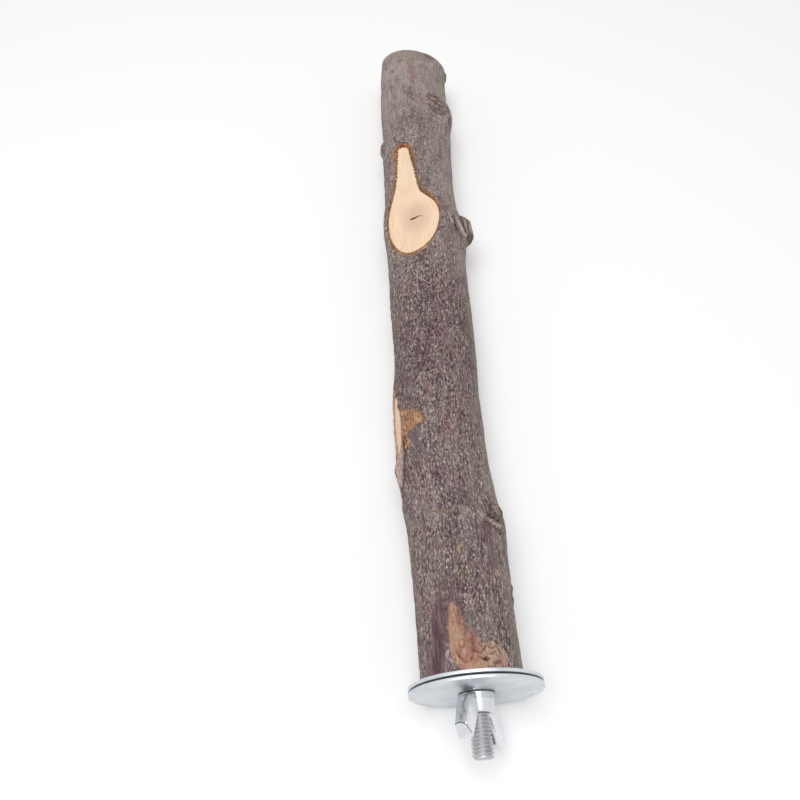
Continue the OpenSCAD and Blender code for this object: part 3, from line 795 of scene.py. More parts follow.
barkRelief = {
    "grain": 0.2,                    # heights in millimetres
    "furrows": 0.16,
    "evenGrain": 0.05,               # on the smooth bark as well
    "dents": 0.28,
    "smoothFar": (0.6, 200, 50),     # how smooth, from where along the branch, over what length
    "smoothSide": (0.45, 10, 45),    # how smooth, at what turn, reach in degrees
    "markedSmooth": 0.6,             # how much of the grain a smooth mark takes away
    "endDrop": 0.12,                 # the bark sinks a little at both ends
    "endLength": 0.5,
}


def relief(along, turn):
    # height of the bark's grain, and how smooth the bark is there
    c, s = math.cos(math.radians(turn)) * branch["radius"], math.sin(math.radians(turn)) * branch["radius"]
    far, start, length = barkRelief["smoothFar"]
    side, middle, reach = barkRelief["smoothSide"]
    smooth = max(far * ease((along - start) / length), side * ease(1 - turnBetween(turn, middle) / reach))
    grain = noise.noise(Vector((c * 0.9, along * 0.34, s * 0.9)))
    plates = noise.noise(Vector((c * 0.32, along * 0.1, s * 0.32 + 40)))
    dents = noise.noise(Vector((c * 0.1, along * 0.055, s * 0.1 + 90)))
    furrow = -0.5 * clamp(1 - abs(plates) * 5) ** 2
    height = (1 - smooth) * (barkRelief["grain"] * grain + barkRelief["furrows"] * furrow)
    return height + barkRelief["evenGrain"] * grain + barkRelief["dents"] * dents, smooth


def marksAt(along, turn):
    # what the marks do at a place: the height they add, how deep their grooves are (painted shade goes there),
    # their paint and how much of it shows, how smooth they make the bark, and how fibrous
    p = Vector((along, girthAt(turn)))
    height = groove = painted = smooth = fibrous = 0.0
    paint = Vector((0.2, 0.16, 0.15))
    for mark in markRows.get(math.floor(along / markRowLength), ()):
        w = mark.weight(p)
        if w < 0.02:
            continue
        height -= mark.depth * w
        if mark.cuts:
            groove = max(groove, mark.depth * w * w)
        w *= mark.strength
        left = painted * (1 - w)
        paint = (paint * left + mark.tint * w) / (left + w)
        painted = left + w
        smooth = mix(smooth, mark.smooth, w)
        fibrous = mix(fibrous, mark.fibrous, w)
    return height, groove, paint, painted, smooth, fibrous


def branchTube(around, places, pointAt, zones=()):
    # a straight tube of one unit, finer in some zones, then every point goes to its place on the branch
    bm = bmesh.new()
    bmesh.ops.create_cone(bm, segments=around, radius1=1, radius2=1, depth=1)
    long = [e for e in bm.edges if abs(e.verts[0].co.z - e.verts[1].co.z) > 0.5]
    bmesh.ops.subdivide_edges(bm, edges=long, cuts=len(places) - 2)
    last = len(places) - 1

    def placeOf(v):
        row = clamp((v.co.z + 0.5) * last, 0, last)
        low = min(int(row + 0.0005), last - 1)
        turn = math.degrees(math.atan2(v.co.y, v.co.x))
        return mix(places[low], places[low + 1], clamp(row - low)), turn if turn >= -90 else turn + 360

    for lowAlong, highAlong, lowTurn, highTurn in zones:
        inside = set()
        for v in bm.verts:
            along, turn = placeOf(v)
            if lowAlong <= along <= highAlong and lowTurn <= turn <= highTurn:
                inside.add(v)
        edges = [e for e in bm.edges if e.verts[0] in inside and e.verts[1] in inside and not e.is_boundary]
        bmesh.ops.subdivide_edges(bm, edges=edges, cuts=1, use_grid_fill=True)
    for v in bm.verts:
        v.co = pointAt(*placeOf(v))
    return bm


def ringPlaces(step):
    count = math.ceil(branch["length"] / step)
    return [branch["length"] * i / count for i in range(count + 1)]


def grainPlace(along, turn):
    # where a point lies on a straight rod, for a grain that follows the branch
    angle = math.radians(turn)
    return Vector((math.cos(angle), math.sin(angle), 0)) * branch["radius"] + Vector((0, 0, along))


def cutTool(cut):
    # the flat cut as a tool: its floor, a sloping edge through the bark, and straight up from there
    bm = bmesh.new()
    spot = bm.verts.layers.int.new("spot")
    ring = bmesh.ops.create_circle(bm, cap_ends=True, segments=len(cut["inner"]), radius=1)["verts"]
    for i, v in enumerate(ring):
        v[spot] = i
        v.co = cutPoint(cut, *cut["inner"][i], 0)
    edges = list(bm.edges)
    for height in (cut["rimHeight"], 12):
        verts, edges = extruded(bm, edges)
        for v in verts:
            v.co = cutPoint(cut, *cut["outer"][v[spot]], height)
    bmesh.ops.edgeloop_fill(bm, edges=edges)
    bmesh.ops.recalc_face_normals(bm, faces=bm.faces)
    return bm


# the bark

# how light the bark is along the branch: its own tone, and the dip near 0.38 to 0.46 of the length is partly a painted
# shadow of a neighbouring perch
toneRows = [(0, 0.46), (0.09, 0.44), (0.2, 0.5), (0.3, 0.42), (0.38, 0.2), (0.46, 0.24), (0.56, 0.66), (0.66, 0.9),
            (0.76, 0.86), (0.84, 0.74), (0.93, 0.86), (1, 0.88)]
# and painted light and shade round it, lighter on the right side and darker on top: amount, middle and reach in
# degrees
paintedLightTurns = [(0.22, 20, 45), (-0.14, 95, 34)]

barkColours = {
    "shaded": (117, 90, 93), "lit": (190, 176, 168), "reddish": (146, 98, 104), "greenish": (164, 152, 130),
    # furrow is the painted shade laid where the bark lies low
    "grey": (106, 86, 90), "seam": (34, 20, 26), "fleck": (240, 220, 214), "furrow": (44, 28, 26),
    "tornDark": (112, 66, 48), "tornPale": (218, 180, 142),
    "rim": (158, 108, 80), "rimPale": (214, 170, 132), "rimDark": (110, 66, 44),
}
# colours of the cut edge: along, turn, half length, half reach in degrees, colour
rimSpots = [(180.0, 150.0, 42.0, 20.0, (150, 92, 66)), (190.0, 92.0, 14.0, 14.0, (128, 108, 76)),
            (170.0, 70.0, 18.0, 18.0, (146, 92, 62)), (152.0, 110.0, 9.0, 44.0, (200, 146, 100)),
            (208.0, 118.0, 6.0, 26.0, (150, 88, 60)), (82.0, 170.0, 20.0, 30.0, (202, 172, 156))]


def barkSurface(along, turn):
    point = shaped(along, turn, barkRadius(along, turn), 0)
    x, z = branchRow(along)[:2]
    out = Vector((point.x - x, 0, point.z - z)).normalized()
    height, _, _, _, smooth, _ = marksAt(along, turn)
    grain = relief(along, turn)[0] * (1 - barkRelief["markedSmooth"] * smooth)
    fromEnd = min(along, branch["length"] - along)
    point += out * (grain + height - barkRelief["endDrop"] * (1 - ease(fromEnd / barkRelief["endLength"])))
    point.z = max(point.z, floorLevel)
    return point


def barkUnderside(along, turn):
    wall = branch["barkThickness"]
    return shaped(along, turn, woodRadius(along, turn) - wall, wall)


def barkMaterial():
    material, tree = newMaterial("bark")
    colours = {name: srgb(*colour) for name, colour in barkColours.items()}
    grain = attribute(tree, "grain", "Vector")
    smooth, fibrous, tone = channels(tree, attribute(tree, "bark"))
    height, painted = attribute(tree, "height", "Fac"), attribute(tree, "painted", "Fac")
    rough = math2(tree, "SUBTRACT", 1, smooth)

    # each noise: stretch, offset, detail, roughness, distortion
    bend = noiseOf(tree, grain, (0.4, 0.4, 0.16), (5, 2, 9), 2)
    lines = noiseOf(tree, grain, (2.1, 2.1, 0.74), (0, 0, 0), 2, 0.6, 0.4)
    net = noiseOf(tree, grain, (1.6, 1.6, 0.85), (7, 3, 1), 2, 0.6, 0.5)
    grit = noiseOf(tree, grain, (3.3, 3.3, 2.1), (3, 1, 7), 3, 0.7)
    specks = noiseOf(tree, grain, (1.9, 1.9, 1.0), (13, 6, 2), 2)
    fibres = noiseOf(tree, grain, (2.4, 2.4, 0.16), (8, 4, 3), 2)
    clouds = noiseOf(tree, grain, (0.14, 0.14, 0.07), (11, 5, 2), 3, 0.55)
    warmth = noiseOf(tree, grain, (0.3, 0.3, 0.13), (31, 15, 8), 3, 0.55)

    # the body goes from the shaded to the lit bark colour by the tone, which holds painted light and shade
    body = stained(tree, blendColour(tree, tone, colours["shaded"], colours["lit"]),
                   (warmth, 0.5, 0.64, 0.5, barkColours["reddish"]),
                   (warmth, 0.46, 0.34, 0.5, barkColours["greenish"]),
                   (clouds, 0.44, 0.62, 0.35, barkColours["grey"]))
    coat = math2(tree, "MAXIMUM", between(tree, lines, 0.36, 0.56, 0.5, 0.96), math2(tree, "MAXIMUM", smooth, fibrous))
    body = blendColour(tree, times(tree, painted, coat), body, attribute(tree, "paint"))

    strength = times(tree, rough, between(tree, tone, 0.4, 0.95, 1, 0.85))
    deep = blendColour(tree, 0.84, body, colours["seam"])
    light = blendColour(tree, 0.66, body, colours["fleck"])
    # seams: in the lines, and thin ones wherever the net's noise crosses its middle
    fromMiddle = math2(tree, "ABSOLUTE", math2(tree, "SUBTRACT", net, 0.5))
    seams = math2(tree, "MAXIMUM", between(tree, lines, 0.51, 0.4), between(tree, fromMiddle, 0.05, 0))
    seams = times(tree, seams, between(tree, bend, 0.3, 0.6, 0.6, 1))
    flecks = times(tree, between(tree, specks, 0.54, 0.66), between(tree, bend, 0.4, 0.6, 0.4, 1))
    for share, mask, colour in (
            (flecks, strength, light), (between(tree, lines, 0.55, 0.66, 0, 0.75), strength, light),
            (between(tree, grit, 0.54, 0.7, 0, 0.6), strength, light), (seams, times(tree, strength, 0.95), deep),
            (between(tree, grit, 0.46, 0.32, 0, 0.9), strength, deep)):
        body = blendColour(tree, times(tree, share, mask), body, colour)
    streak = times(tree, between(tree, fibres, 0.52, 0.62), between(tree, smooth, 0.5, 0.9, 0.42, 0.05))
    body = blendColour(tree, streak, body, blendColour(tree, 0.5, body, deep))
    body = blendColour(tree, between(tree, fibres, 0.48, 0.38, 0, 0.16), body, light)
    # painted shade: the bark darkens towards the furrow colour where it lies low, in the grain's furrows and in the
    # strokes' grooves
    body = stained(tree, body, (height, -0.1, -0.5, 0.85, barkColours["furrow"]))
    for share, colour in ((between(tree, lines, 0.5, 0.42, 0, 0.8), "tornDark"),
                          (between(tree, grit, 0.52, 0.62, 0, 0.55), "tornPale")):
        body = blendColour(tree, times(tree, share, fibrous), body, colours[colour])
    bump = bumpOf(tree, math2(tree, "SUBTRACT", 1, times(tree, seams, rough)), 0.28, 0.8)
    bump = bumpOf(tree, fibres, 0.08, 0.5, bumpOf(tree, grit, 0.22, 0.7, bump))
    return setSurface(material, nodeOf(tree, "BsdfPrincipled", "BSDF", {
        "Base Color": body, "Roughness": 0.8, "Specular IOR Level": 0.28, "Normal": bump}))


def cutBarkMaterial():
    # the cut edge of the bark, orange-brown and fibrous
    material, tree = newMaterial("barkCutEdge")
    place = objectPlace(tree)
    fibres = noiseOf(tree, place, (1.8, 0.5, 1.8), roughness=0.6)
    spots = noiseOf(tree, place, (0.6, 0.6, 0.6), (4, 4, 4), 2)
    body = stained(tree, attribute(tree, "rim"), (fibres, 0.42, 0.62, 0.45, barkColours["rimPale"]),
                   (spots, 0.5, 0.72, 0.65, barkColours["rimDark"]))
    return setSurface(material, nodeOf(tree, "BsdfPrincipled", "BSDF", {
        "Base Color": body, "Roughness": 0.75, "Normal": bumpOf(tree, fibres, 0.2, 0.6)}))


def softSpot(along, turn, place, middle, length, reach):
    q = ((along - place) / length) ** 2 + (turnBetween(turn, middle) / reach) ** 2
    return 0 if q >= 1 else ease(1 - q)


def storeBarkMarks(bm):
    # what the materials read: grain place, smooth, fibrous and tone (the tone with its painted light and shade),
    # paint, the rim's colour and the height
    layers = bm.verts.layers
    grain = layers.float_vector.new("grain")
    bark, paint, rim = (layers.float_color.new(name) for name in ("bark", "paint", "rim"))
    height, painted = (layers.float.new(name) for name in ("height", "painted"))
    plainRim = Vector(srgb(*barkColours["rim"])[:3])
    rims = [(spot, Vector(srgb(*colour)[:3])) for *spot, colour in rimSpots]
    for v in bm.verts:
        along, turn = placeOn(v.co)
        v[grain] = grainPlace(along, turn)
        grainHeight, smooth = relief(along, turn)
        _, groove, tint, share, markSmooth, fibrous = marksAt(along, turn)
        tone = lookUp(toneRows, clamp(along / branch["length"]))
        # painted light and shade round the branch, added to the tone
        for amount, middle, reach in paintedLightTurns:
            tone += amount * ease(1 - turnBetween(turn, middle) / reach)
        v[bark] = (max(smooth * (1 - share), markSmooth), fibrous, tone, 1)
        v[paint] = (*tint, 1)
        v[painted] = share
        # the height, less the grooves, sets where the bark material paints shade
        v[height] = grainHeight - groove
        edge = plainRim
        for spot, colour in rims:
            edge = edge.lerp(colour, softSpot(along, turn, *spot))
        v[rim] = (*edge, 1)


def makeBark():
    outer = branchTube(branch["facetsAround"], ringPlaces(branch["ringStep"]), barkSurface, fineZones)
    inner = branchTube(branch["facetsAround"], ringPlaces(branch["innerRingStep"]), barkUnderside)
    bmesh.ops.reverse_faces(inner, faces=inner.faces)
    rim = kdtree.KDTree(len(inner.verts))
    for i, v in enumerate(inner.verts):
        rim.insert(v.co if v.is_boundary else (0, -999, 0), i)
    rim.balance()
    # at both ends a flat ring joins the outer wall to the inner one
    for v in extruded(outer, [e for e in outer.edges if e.is_boundary])[0]:
        v.co = rim.find(v.co)[0]
    mesh = bpy.data.meshes.new("work")
    inner.to_mesh(mesh)
    inner.free()
    outer.from_mesh(mesh)
    bpy.data.meshes.remove(mesh)
    bmesh.ops.remove_doubles(outer, verts=outer.verts, dist=0.0005)
    bmesh.ops.recalc_face_normals(outer, faces=outer.faces)
    for cut in (pearCut, sideCut):
        outer = boolean(outer, cutTool(cut))
    # the faces that the cuts have left through the bark
    for face in outer.faces:
        centre = face.calc_center_median()
        for cut in (pearCut, sideCut):
            across, along, height = cutPlace(cut, centre)
            if -0.2 < height < cut["rimHeight"] + 0.3 and cut["reach"][0] < along < cut["reach"][1]:
                if rimDistance(cut, across, along)[0] < 0.03:
                    face.material_index = 1
    storeBarkMarks(outer)
    return finishPiece(outer, "barkPiece", [barkMaterial(), cutBarkMaterial()], "perch", "bark")


barkPiece = makeBark()
print("bark ready")


# the wood

wood = {
    "facetsAround": 150,
    "ringStep": 1.25,
    "endRings": 7,                  # rings of facets in the end grain
    "crackMiddle": (1.6, 168.3),    # across and along the pear-shaped cut
    "crackTurn": 8.0,
    "crackSize": (2.6, 0.42, 1.2),  # half length, half width, half depth
    "pith": (1.4, 168.0),           # where the cut's rings are centred
    "ringShape": (1.1, 0.72),       # how tight they are, across and along
    "heart": (0.8, -0.6),           # the ends' rings, off the centre line
    "boreRadius": 3.04,
    "boreDepth": 7.1,
    "screwRadius": 2.84,
    "screwDepth": 31.2,
    "tipDepth": 36.2,
    "shaded": (237, 203, 171), "lit": (249, 220, 190), "cloud": (252, 228, 200), "ring": (206, 152, 112),
    "middle": (216, 178, 154),
    "endShaded": (206, 166, 122), "endLit": (234, 202, 160), "endRing": (172, 124, 82), "endHeart": (110, 72, 46),
    "sawMark": (248, 224, 190),
    # the crack's colours are painted shade: near-black brown inside the crack
    "crackDark": (58, 34, 24), "crackPale": (110, 66, 42),
}


def woodSurface(along, turn):
    wall = branch["barkThickness"] + branch["barkGap"]
    return shaped(along, turn, woodRadius(along, turn) - wall, wall)


def closeEnd(bm, edges, steps):
    # the end grain: rings of facets towards the middle
    ends = {v for e in edges for v in e.verts}
    middle = sum((v.co for v in ends), Vector()) / len(ends)
    for i in range(steps):
        verts, edges = extruded(bm, edges)
        keep = (steps - i - 1) / (steps - i) if i < steps - 1 else 0.3
        for v in verts:
            v.co = middle + (v.co - middle) * keep
    bmesh.ops.edgeloop_fill(bm, edges=edges)


def boreTool():
    before = sawnEnd - 2
    rows = [(0, before), (wood["boreRadius"], before), (wood["boreRadius"], sawnEnd + wood["boreDepth"]),
            (wood["screwRadius"], sawnEnd + wood["boreDepth"]), (wood["screwRadius"], sawnEnd + wood["screwDepth"]),
            (0, sawnEnd + wood["tipDepth"])]
    return lathe(rows, 48, (0, 1, 0))


def crackTool():
    bm = bmesh.new()
    bmesh.ops.create_icosphere(bm, subdivisions=3, radius=1)
    bmesh.ops.scale(bm, vec=wood["crackSize"], verts=bm.verts)
    angle = math.radians(wood["crackTurn"])
    for v in bm.verts:
        v.co.y *= 0.75 - 0.3 * v.co.x                  # thicker on the left
        v.co.y += 0.12 * math.sin(v.co.x * 2.3)        # and a little bent
        across = wood["crackMiddle"][0] + v.co.x * math.cos(angle) - v.co.y * math.sin(angle)
        along = wood["crackMiddle"][1] + v.co.x * math.sin(angle) + v.co.y * math.cos(angle)
        v.co = cutPoint(pearCut, across, along, v.co.z)
    bmesh.ops.recalc_face_normals(bm, faces=bm.faces)
    return bm


def ringWave(tree, rings, often, wander, far):
    # the year rings as waves, led astray by a noise
    return math2(tree, "SINE", math2(tree, "ADD", times(tree, rings, often), times(tree, wander, far)))


def woodMaterial():
    material, tree = newMaterial("wood")
    grain = attribute(tree, "grain", "Vector")
    rings = attribute(tree, "rings", "Fac")
    knotZone = attribute(tree, "knotZone", "Fac")
    fibres = noiseOf(tree, grain, (2.2, 2.2, 0.16), roughness=0.55)
    clouds = noiseOf(tree, grain, (0.12, 0.12, 0.08), (5, 9, 2), 2)
    body = stained(tree, srgb(*wood["shaded"]), (fibres, 0.3, 0.7, 1, wood["lit"]),
                   (clouds, 0.4, 0.7, 0.4, wood["cloud"]))
    wave = ringWave(tree, rings, 5.2, clouds, 14)
    for share, colour in ((between(tree, wave, 0.2, 1, 0, 0.12), "ring"),
                          (between(tree, rings, 8.5, 2, 0, 0.7), "middle")):
        body = blendColour(tree, times(tree, share, knotZone), body, srgb(*wood[colour]))
    return setSurface(material, nodeOf(tree, "BsdfPrincipled", "BSDF", {
        "Base Color": body, "Roughness": 0.62, "Specular IOR Level": 0.35, "Normal": bumpOf(tree, fibres, 0.1, 0.5)}))


def endGrainMaterial():
    material, tree = newMaterial("woodEndGrain")
    rings = attribute(tree, "rings", "Fac")
    place = objectPlace(tree)
    wander = noiseOf(tree, place, (0.16, 0.05, 0.16), detail=2)
    speckle = noiseOf(tree, place, (1.8, 0.4, 1.8), roughness=0.6)
    saw = noiseOf(tree, place, (0.35, 0.2, 3.4), (2, 1, 5), 2)
    body = stained(tree, srgb(*wood["endShaded"]), (speckle, 0.3, 0.7, 1, wood["endLit"]),
                   (ringWave(tree, rings, 3.6, wander, 9), 0.1, 1, 0.5, wood["endRing"]),
                   (rings, 1.3, 0.5, 0.9, wood["endHeart"]), (saw, 0.55, 0.75, 0.3, wood["sawMark"]))
    bump = bumpOf(tree, saw, 0.15, 0.5, bumpOf(tree, speckle, 0.1, 0.4))
    return setSurface(material, nodeOf(tree, "BsdfPrincipled", "BSDF", {
        "Base Color": body, "Roughness": 0.8, "Normal": bump}))


def crackMaterial():
    # painted shade: the crack's walls are near-black brown, far darker than the cut wood round them
    material, tree = newMaterial("woodCrack")
    spots = noiseOf(tree, objectPlace(tree), (2, 2, 2), detail=2)
    body = stained(tree, srgb(*wood["crackDark"]), (spots, 0.35, 0.65, 1, wood["crackPale"]))
    return setSurface(material, nodeOf(tree, "BsdfPrincipled", "BSDF", {"Base Color": body, "Roughness": 0.9}))


def makeWood():
    bm = branchTube(wood["facetsAround"], ringPlaces(wood["ringStep"]), woodSurface)
    middle = branch["length"] / 2
    for atFar in (False, True):
        ends = [e for e in bm.edges if e.is_boundary and (e.verts[0].co.y > middle) == atFar]
        closeEnd(bm, ends, wood["endRings"])
    bmesh.ops.recalc_face_normals(bm, faces=bm.faces)
    bm = boolean(bm, boreTool())
    bm = boolean(bm, crackTool())
    bm.normal_update()
    grain = bm.verts.layers.float_vector.new("grain")
    rings = bm.verts.layers.float.new("rings")
    knotZone = bm.verts.layers.float.new("knotZone")
    pith, tight, heart = wood["pith"], wood["ringShape"], wood["heart"]
    for v in bm.verts:
        along, turn = placeOn(v.co)
        x, z = branchRow(along)[:2]
        v[grain] = grainPlace(along, turn)
        across, place, height = cutPlace(pearCut, v.co)
        onPear = turnBetween(turn, pearCut["turn"]) < 70 and pearCut["reach"][0] < place < pearCut["reach"][1]
        v[knotZone] = 0
        v[rings] = Vector((v.co.x - x - heart[0], v.co.z - z - heart[1])).length
        if onPear and height > -1:
            v[rings] = Vector(((across - pith[0]) * tight[0], (place - pith[1]) * tight[1])).length
            v[knotZone] = ease((16 - v[rings]) / 8)
    for face in bm.faces:
        across, place, height = cutPlace(pearCut, face.calc_center_median())
        near = abs(across - wood["crackMiddle"][0]) < 3 and abs(place - wood["crackMiddle"][1]) < 2
        if abs(face.normal.y) > 0.6 and not near:
            face.material_index = 1
        elif near and -wood["crackSize"][2] < height < -0.03:
            face.material_index = 2
    return finishPiece(bm, "woodPiece", [woodMaterial(), endGrainMaterial(), crackMaterial()], "perch",
                       "branch_core")


woodPiece = makeWood()
print("wood ready")


def zincMaterial(name, colour, roughness, smudge, scratchDepth, shaded=False):
    # zinc plating: slightly cloudy, with fine marks from stamping and handling
    material, tree = newMaterial(name)
    place = objectPlace(tree)
    clouds = noiseOf(tree, place, (0.12, 0.12, 0.12), roughness=0.6)
    fine = noiseOf(tree, place, (1.4, 0.6, 0.9), (3, 8, 1), 3, 0.65)
    pits = noiseOf(tree, place, (3.1, 3.1, 3.1), (9, 2, 4), 1)
    body = stained(tree, srgb(*colour), (clouds, 0.35, 0.7, 1, [c * 0.93 for c in colour]),
                   (pits, 0.66, 0.8, 0.5, [c * 0.7 for c in colour]))
    if shaded:
        # painted shade and painted reflections, from the nut's shade attribute
        body = blendColour(tree, attribute(tree, "shade", "Fac"), body, srgb(46, 50, 62))
    return setSurface(material, nodeOf(tree, "BsdfPrincipled", "BSDF", {
        "Base Color": body, "Metallic": 1, "Roughness": between(tree, fine, 0.3, 0.75, roughness, roughness + smudge),
        "Normal": bumpOf(tree, fine, scratchDepth, 0.5)}))


# the stud

stud = {
    "radius": 3.0,
    "pitch": 1.0,
    "depth": 0.61,
    "end": 18.3,             # from the inner washer's clamping face
    "endBevel": 0.55,
    "threadStart": -3.05,
    "shankStart": -8.05,
    "screwStart": -32.05,
    "tip": -37.05,
    "screwPitch": 3.0,
    "screwRadius": 2.8,
    "screwRoot": 2.0,
    "overlap": 0.4,          # of the shank and the threads
    "steps": 48,
    "colour": (194, 191, 195),
}


def threadedBar(profile, pitch, low, high):
    # one pitch of the profile, wound round the axis, then cut square and closed at both ends
    bm = bmesh.new()
    turns = math.ceil((high - low) / pitch) + 3
    verts = [bm.verts.new((r, 0, low - 1.5 * pitch + z * pitch)) for r, z in profile]
    edges = [bm.edges.new(pair) for pair in zip(verts, verts[1:])]
    steps = stud["steps"]
    bmesh.ops.spin(bm, geom=verts + edges, cent=(0, 0, 0), axis=(0, 0, 1), dvec=(0, 0, pitch / steps),
                   angle=2 * math.pi * turns, steps=steps * turns)
    bmesh.ops.remove_doubles(bm, verts=bm.verts, dist=0.002)
    for place, side in ((low, -1), (high, 1)):
        bmesh.ops.bisect_plane(bm, geom=bm.verts[:] + bm.edges[:] + bm.faces[:], plane_co=(0, 0, place),
                               plane_no=(0, 0, side), clear_outer=True)
    bmesh.ops.edgeloop_fill(bm, edges=[e for e in bm.edges if e.is_boundary])
    return bm


def limitRadius(bm, limitAt):
    for v in bm.verts:
        radius = Vector((v.co.x, v.co.y)).length
        limit = limitAt(v.co.z, radius)
        if radius > limit:
            v.co.x *= limit / radius
            v.co.y *= limit / radius


def makeStud():
    root, crest = stud["radius"] - stud["depth"], stud["radius"]
    bm = threadedBar([(root, 0), (root + 0.03, 0.07), (crest - 0.04, 0.4), (crest, 0.45), (crest, 0.55),
                      (crest - 0.04, 0.6), (root + 0.03, 0.93), (root, 1)],
                     stud["pitch"], stud["threadStart"], stud["end"])
    bevelStart = stud["end"] - stud["endBevel"]
    limitRadius(bm, lambda z, r: crest - max(0, z - bevelStart))
    low, high = stud["screwRoot"], stud["screwRadius"]
    screw = threadedBar([(low, 0), (low, 0.36), (high - 0.05, 0.47), (high, 0.5), (high - 0.05, 0.53), (low, 0.64),
                         (low, 1)], stud["screwPitch"], stud["tip"], stud["shankStart"] + stud["overlap"])
    point = stud["screwStart"] - stud["tip"]
    limitRadius(screw, lambda z, r: r if z > stud["screwStart"] else r * max(0.03, (z - stud["tip"]) / point))
    shank = bmesh.new()
    length = stud["threadStart"] - stud["shankStart"] + stud["overlap"]
    shankRadius = crest - stud["depth"] / 2
    bmesh.ops.create_cone(shank, cap_ends=True, segments=64, radius1=shankRadius, radius2=shankRadius, depth=length,
                          matrix=Matrix.Translation((0, 0, stud["shankStart"] + length / 2)))
    for part in (bm, screw, shank):
        bmesh.ops.recalc_face_normals(part, faces=part.faces)
    bm = boolean(boolean(bm, shank, "UNION"), screw, "UNION")
    layDown(bm)
    return finishPiece(bm, "studPiece", [zincMaterial("studSteel", stud["colour"], 0.42, 0.18, 0.03)], "perch",
                       "hanger_bolt")


studPiece = makeStud()
print("stud ready")


# the washers

washer = {
    "thickness": 1.0,
    "bore": 3.2,
    "edge": 0.22,
    "steps": 144,
    "gap": 0.5,              # between the two
    "play": 0.01,
    "colour": (211, 216, 220),
}


def makeWasher(name, near, node, body):
    # near is the face towards the branch, along -Y
    far = near + washer["thickness"]
    rim = washerRadius - washer["play"]
    bm = lathe([(washer["bore"], near), (rim, near), (rim, far), (washer["bore"], far)], washer["steps"], closed=True)
    circles = [e for e in bm.edges if abs(e.verts[0].co.z - e.verts[1].co.z) < 0.001
               and abs(e.verts[0].co.xy.length - e.verts[1].co.xy.length) < 0.001]
    bevelEdges(bm, circles, washer["edge"])
    layDown(bm)
    piece = finishPiece(bm, name, [zincMaterial(name + "Zinc", washer["colour"], 0.36, 0.14, 0.02)], body, node)
    return piece


makeWasher("innerWasherPiece", -washer["thickness"], "inner_washer", "inner_washer")
makeWasher("outerWasherPiece", washer["gap"], "outer_washer", "outer_washer")
print("washers ready")


# the wing nut

nut = {
    "seat": 1.5,
    "turn": 62.0,            # of the wings round the stud
    "hubFoot": 5.2,
    "hubTop": 4.4,
    "hubHeight": 5.5,
    "hubEdge": 0.4,
    "bore": 3.05,
    "thickness": 3.6,
    "tipThickness": 3.4,
    "voxel": 0.14,
    "edge": 0.22,
    "colour": (226, 228, 232),
    # painted reflections and painted shade on each wing, as dark lines: points from the stud's axis, half width, how
    # dark
    "paintedDark": [([(12.8, 1.6, 9.35), (12.75, 0.6, 9.05), (12.75, -0.2, 9.05), (12.86, -1.0, 9.4), (12.7, -1.6, 9.85),
               (11.6, -1.75, 10.7), (10.0, -1.75, 11.5)], 0.2, 0.95),
             ([(6.0, 0, 8.0), (7.5, 0.15, 10.15), (8.8, 0, 11.9)], 0.55, 0.9),
             ([(9.7, -0.8, 2.4), (10.4, -0.8, 3.4)], 0.3, 0.7), ([(10.5, -0.4, 3.8), (11.2, -0.4, 5.4)], 0.55, 0.45),
             ([(11.5, -0.8, 6.2), (11.6, -0.8, 6.4)], 0.35, 0.7), ([(11.9, -0.1, 7.1), (12.4, -0.1, 8.3)], 0.6, 0.5),
             ([(10.0, -1.5, 2.9), (10.6, -1.75, 5.0), (10.75, -1.75, 8.6)], 0.18, 0.4),
             ([(9.6, 0.6, 12.5), (9.5, -0.6, 12.6)], 0.25, 0.5), ([(4.6, 0, 2.15), (3.0, -3.6, 2.15)], 0.2, 0.35)],
    # half of the outline: out from the stud, up from the seat
    "outline": [(2.5, 0.9), (5.2, 0.7), (8.9, 1.5), (10.2, 3.0), (11.5, 6.2), (12.9, 9.4), (12.7, 10.2), (10.1, 12.7),
                (9.3, 12.6), (6.6, 8.9), (4.4, 5.7), (2.5, 5.2)],
}


def sharpEdges(edges):
    return [e for e in edges if e.calc_face_angle(0) > 0.9]


def addWing(bm, side):
    ring = bmesh.ops.create_circle(bm, cap_ends=True, segments=len(nut["outline"]), radius=1)["verts"]
    for v, (out, up) in zip(ring, nut["outline"]):
        v.co = (out * side, -nut["thickness"] / 2, up)
    made = bmesh.ops.extrude_face_region(bm, geom=[ring[0].link_faces[0]])["geom"]
    raised = [g for g in made if isinstance(g, bmesh.types.BMVert)]
    bmesh.ops.translate(bm, vec=(0, nut["thickness"], 0), verts=raised)
    wing = ring + raised
    for v in wing:
        v.co.y *= mix(1, nut["tipThickness"] / nut["thickness"], clamp((abs(v.co.x) - 5) / 8))
    faces = {f for v in wing for f in v.link_faces}
    bmesh.ops.recalc_face_normals(bm, faces=list(faces))
    bevelEdges(bm, sharpEdges({e for f in faces for e in f.edges}), nut["edge"])


paintedDarkSegments = [(Vector(a), Vector(b) - Vector(a), width, depth)
             for points, width, depth in nut["paintedDark"] for a, b in zip(points, points[1:])]


def paintedShading(point):
    # painted shade and painted reflections: how dark the zinc is at a place of the nut: at its foot against the
    # washer, on its lowest part, low on the wings' outer edges, and on the painted dark lines
    dark = max(0.9 * ease((0.42 - point.z) / 0.2), 0.2 * ease((2.3 - point.z) / 0.3))
    side = 1 if point.x > 0 else -1
    out = point.x * side
    if out > 8.5 and point.z < 9.2:
        dark = max(dark, 0.14 * ease((out - 8.9 - 0.32 * point.z) / 0.8))
    place = Vector((out, point.y * side, point.z))
    for start, line, width, depth in paintedDarkSegments:
        away = awayFrom(place, start, line)
        if away < 3 * width:
            dark = max(dark, depth * math.exp(-(away / width) ** 2))
    return dark


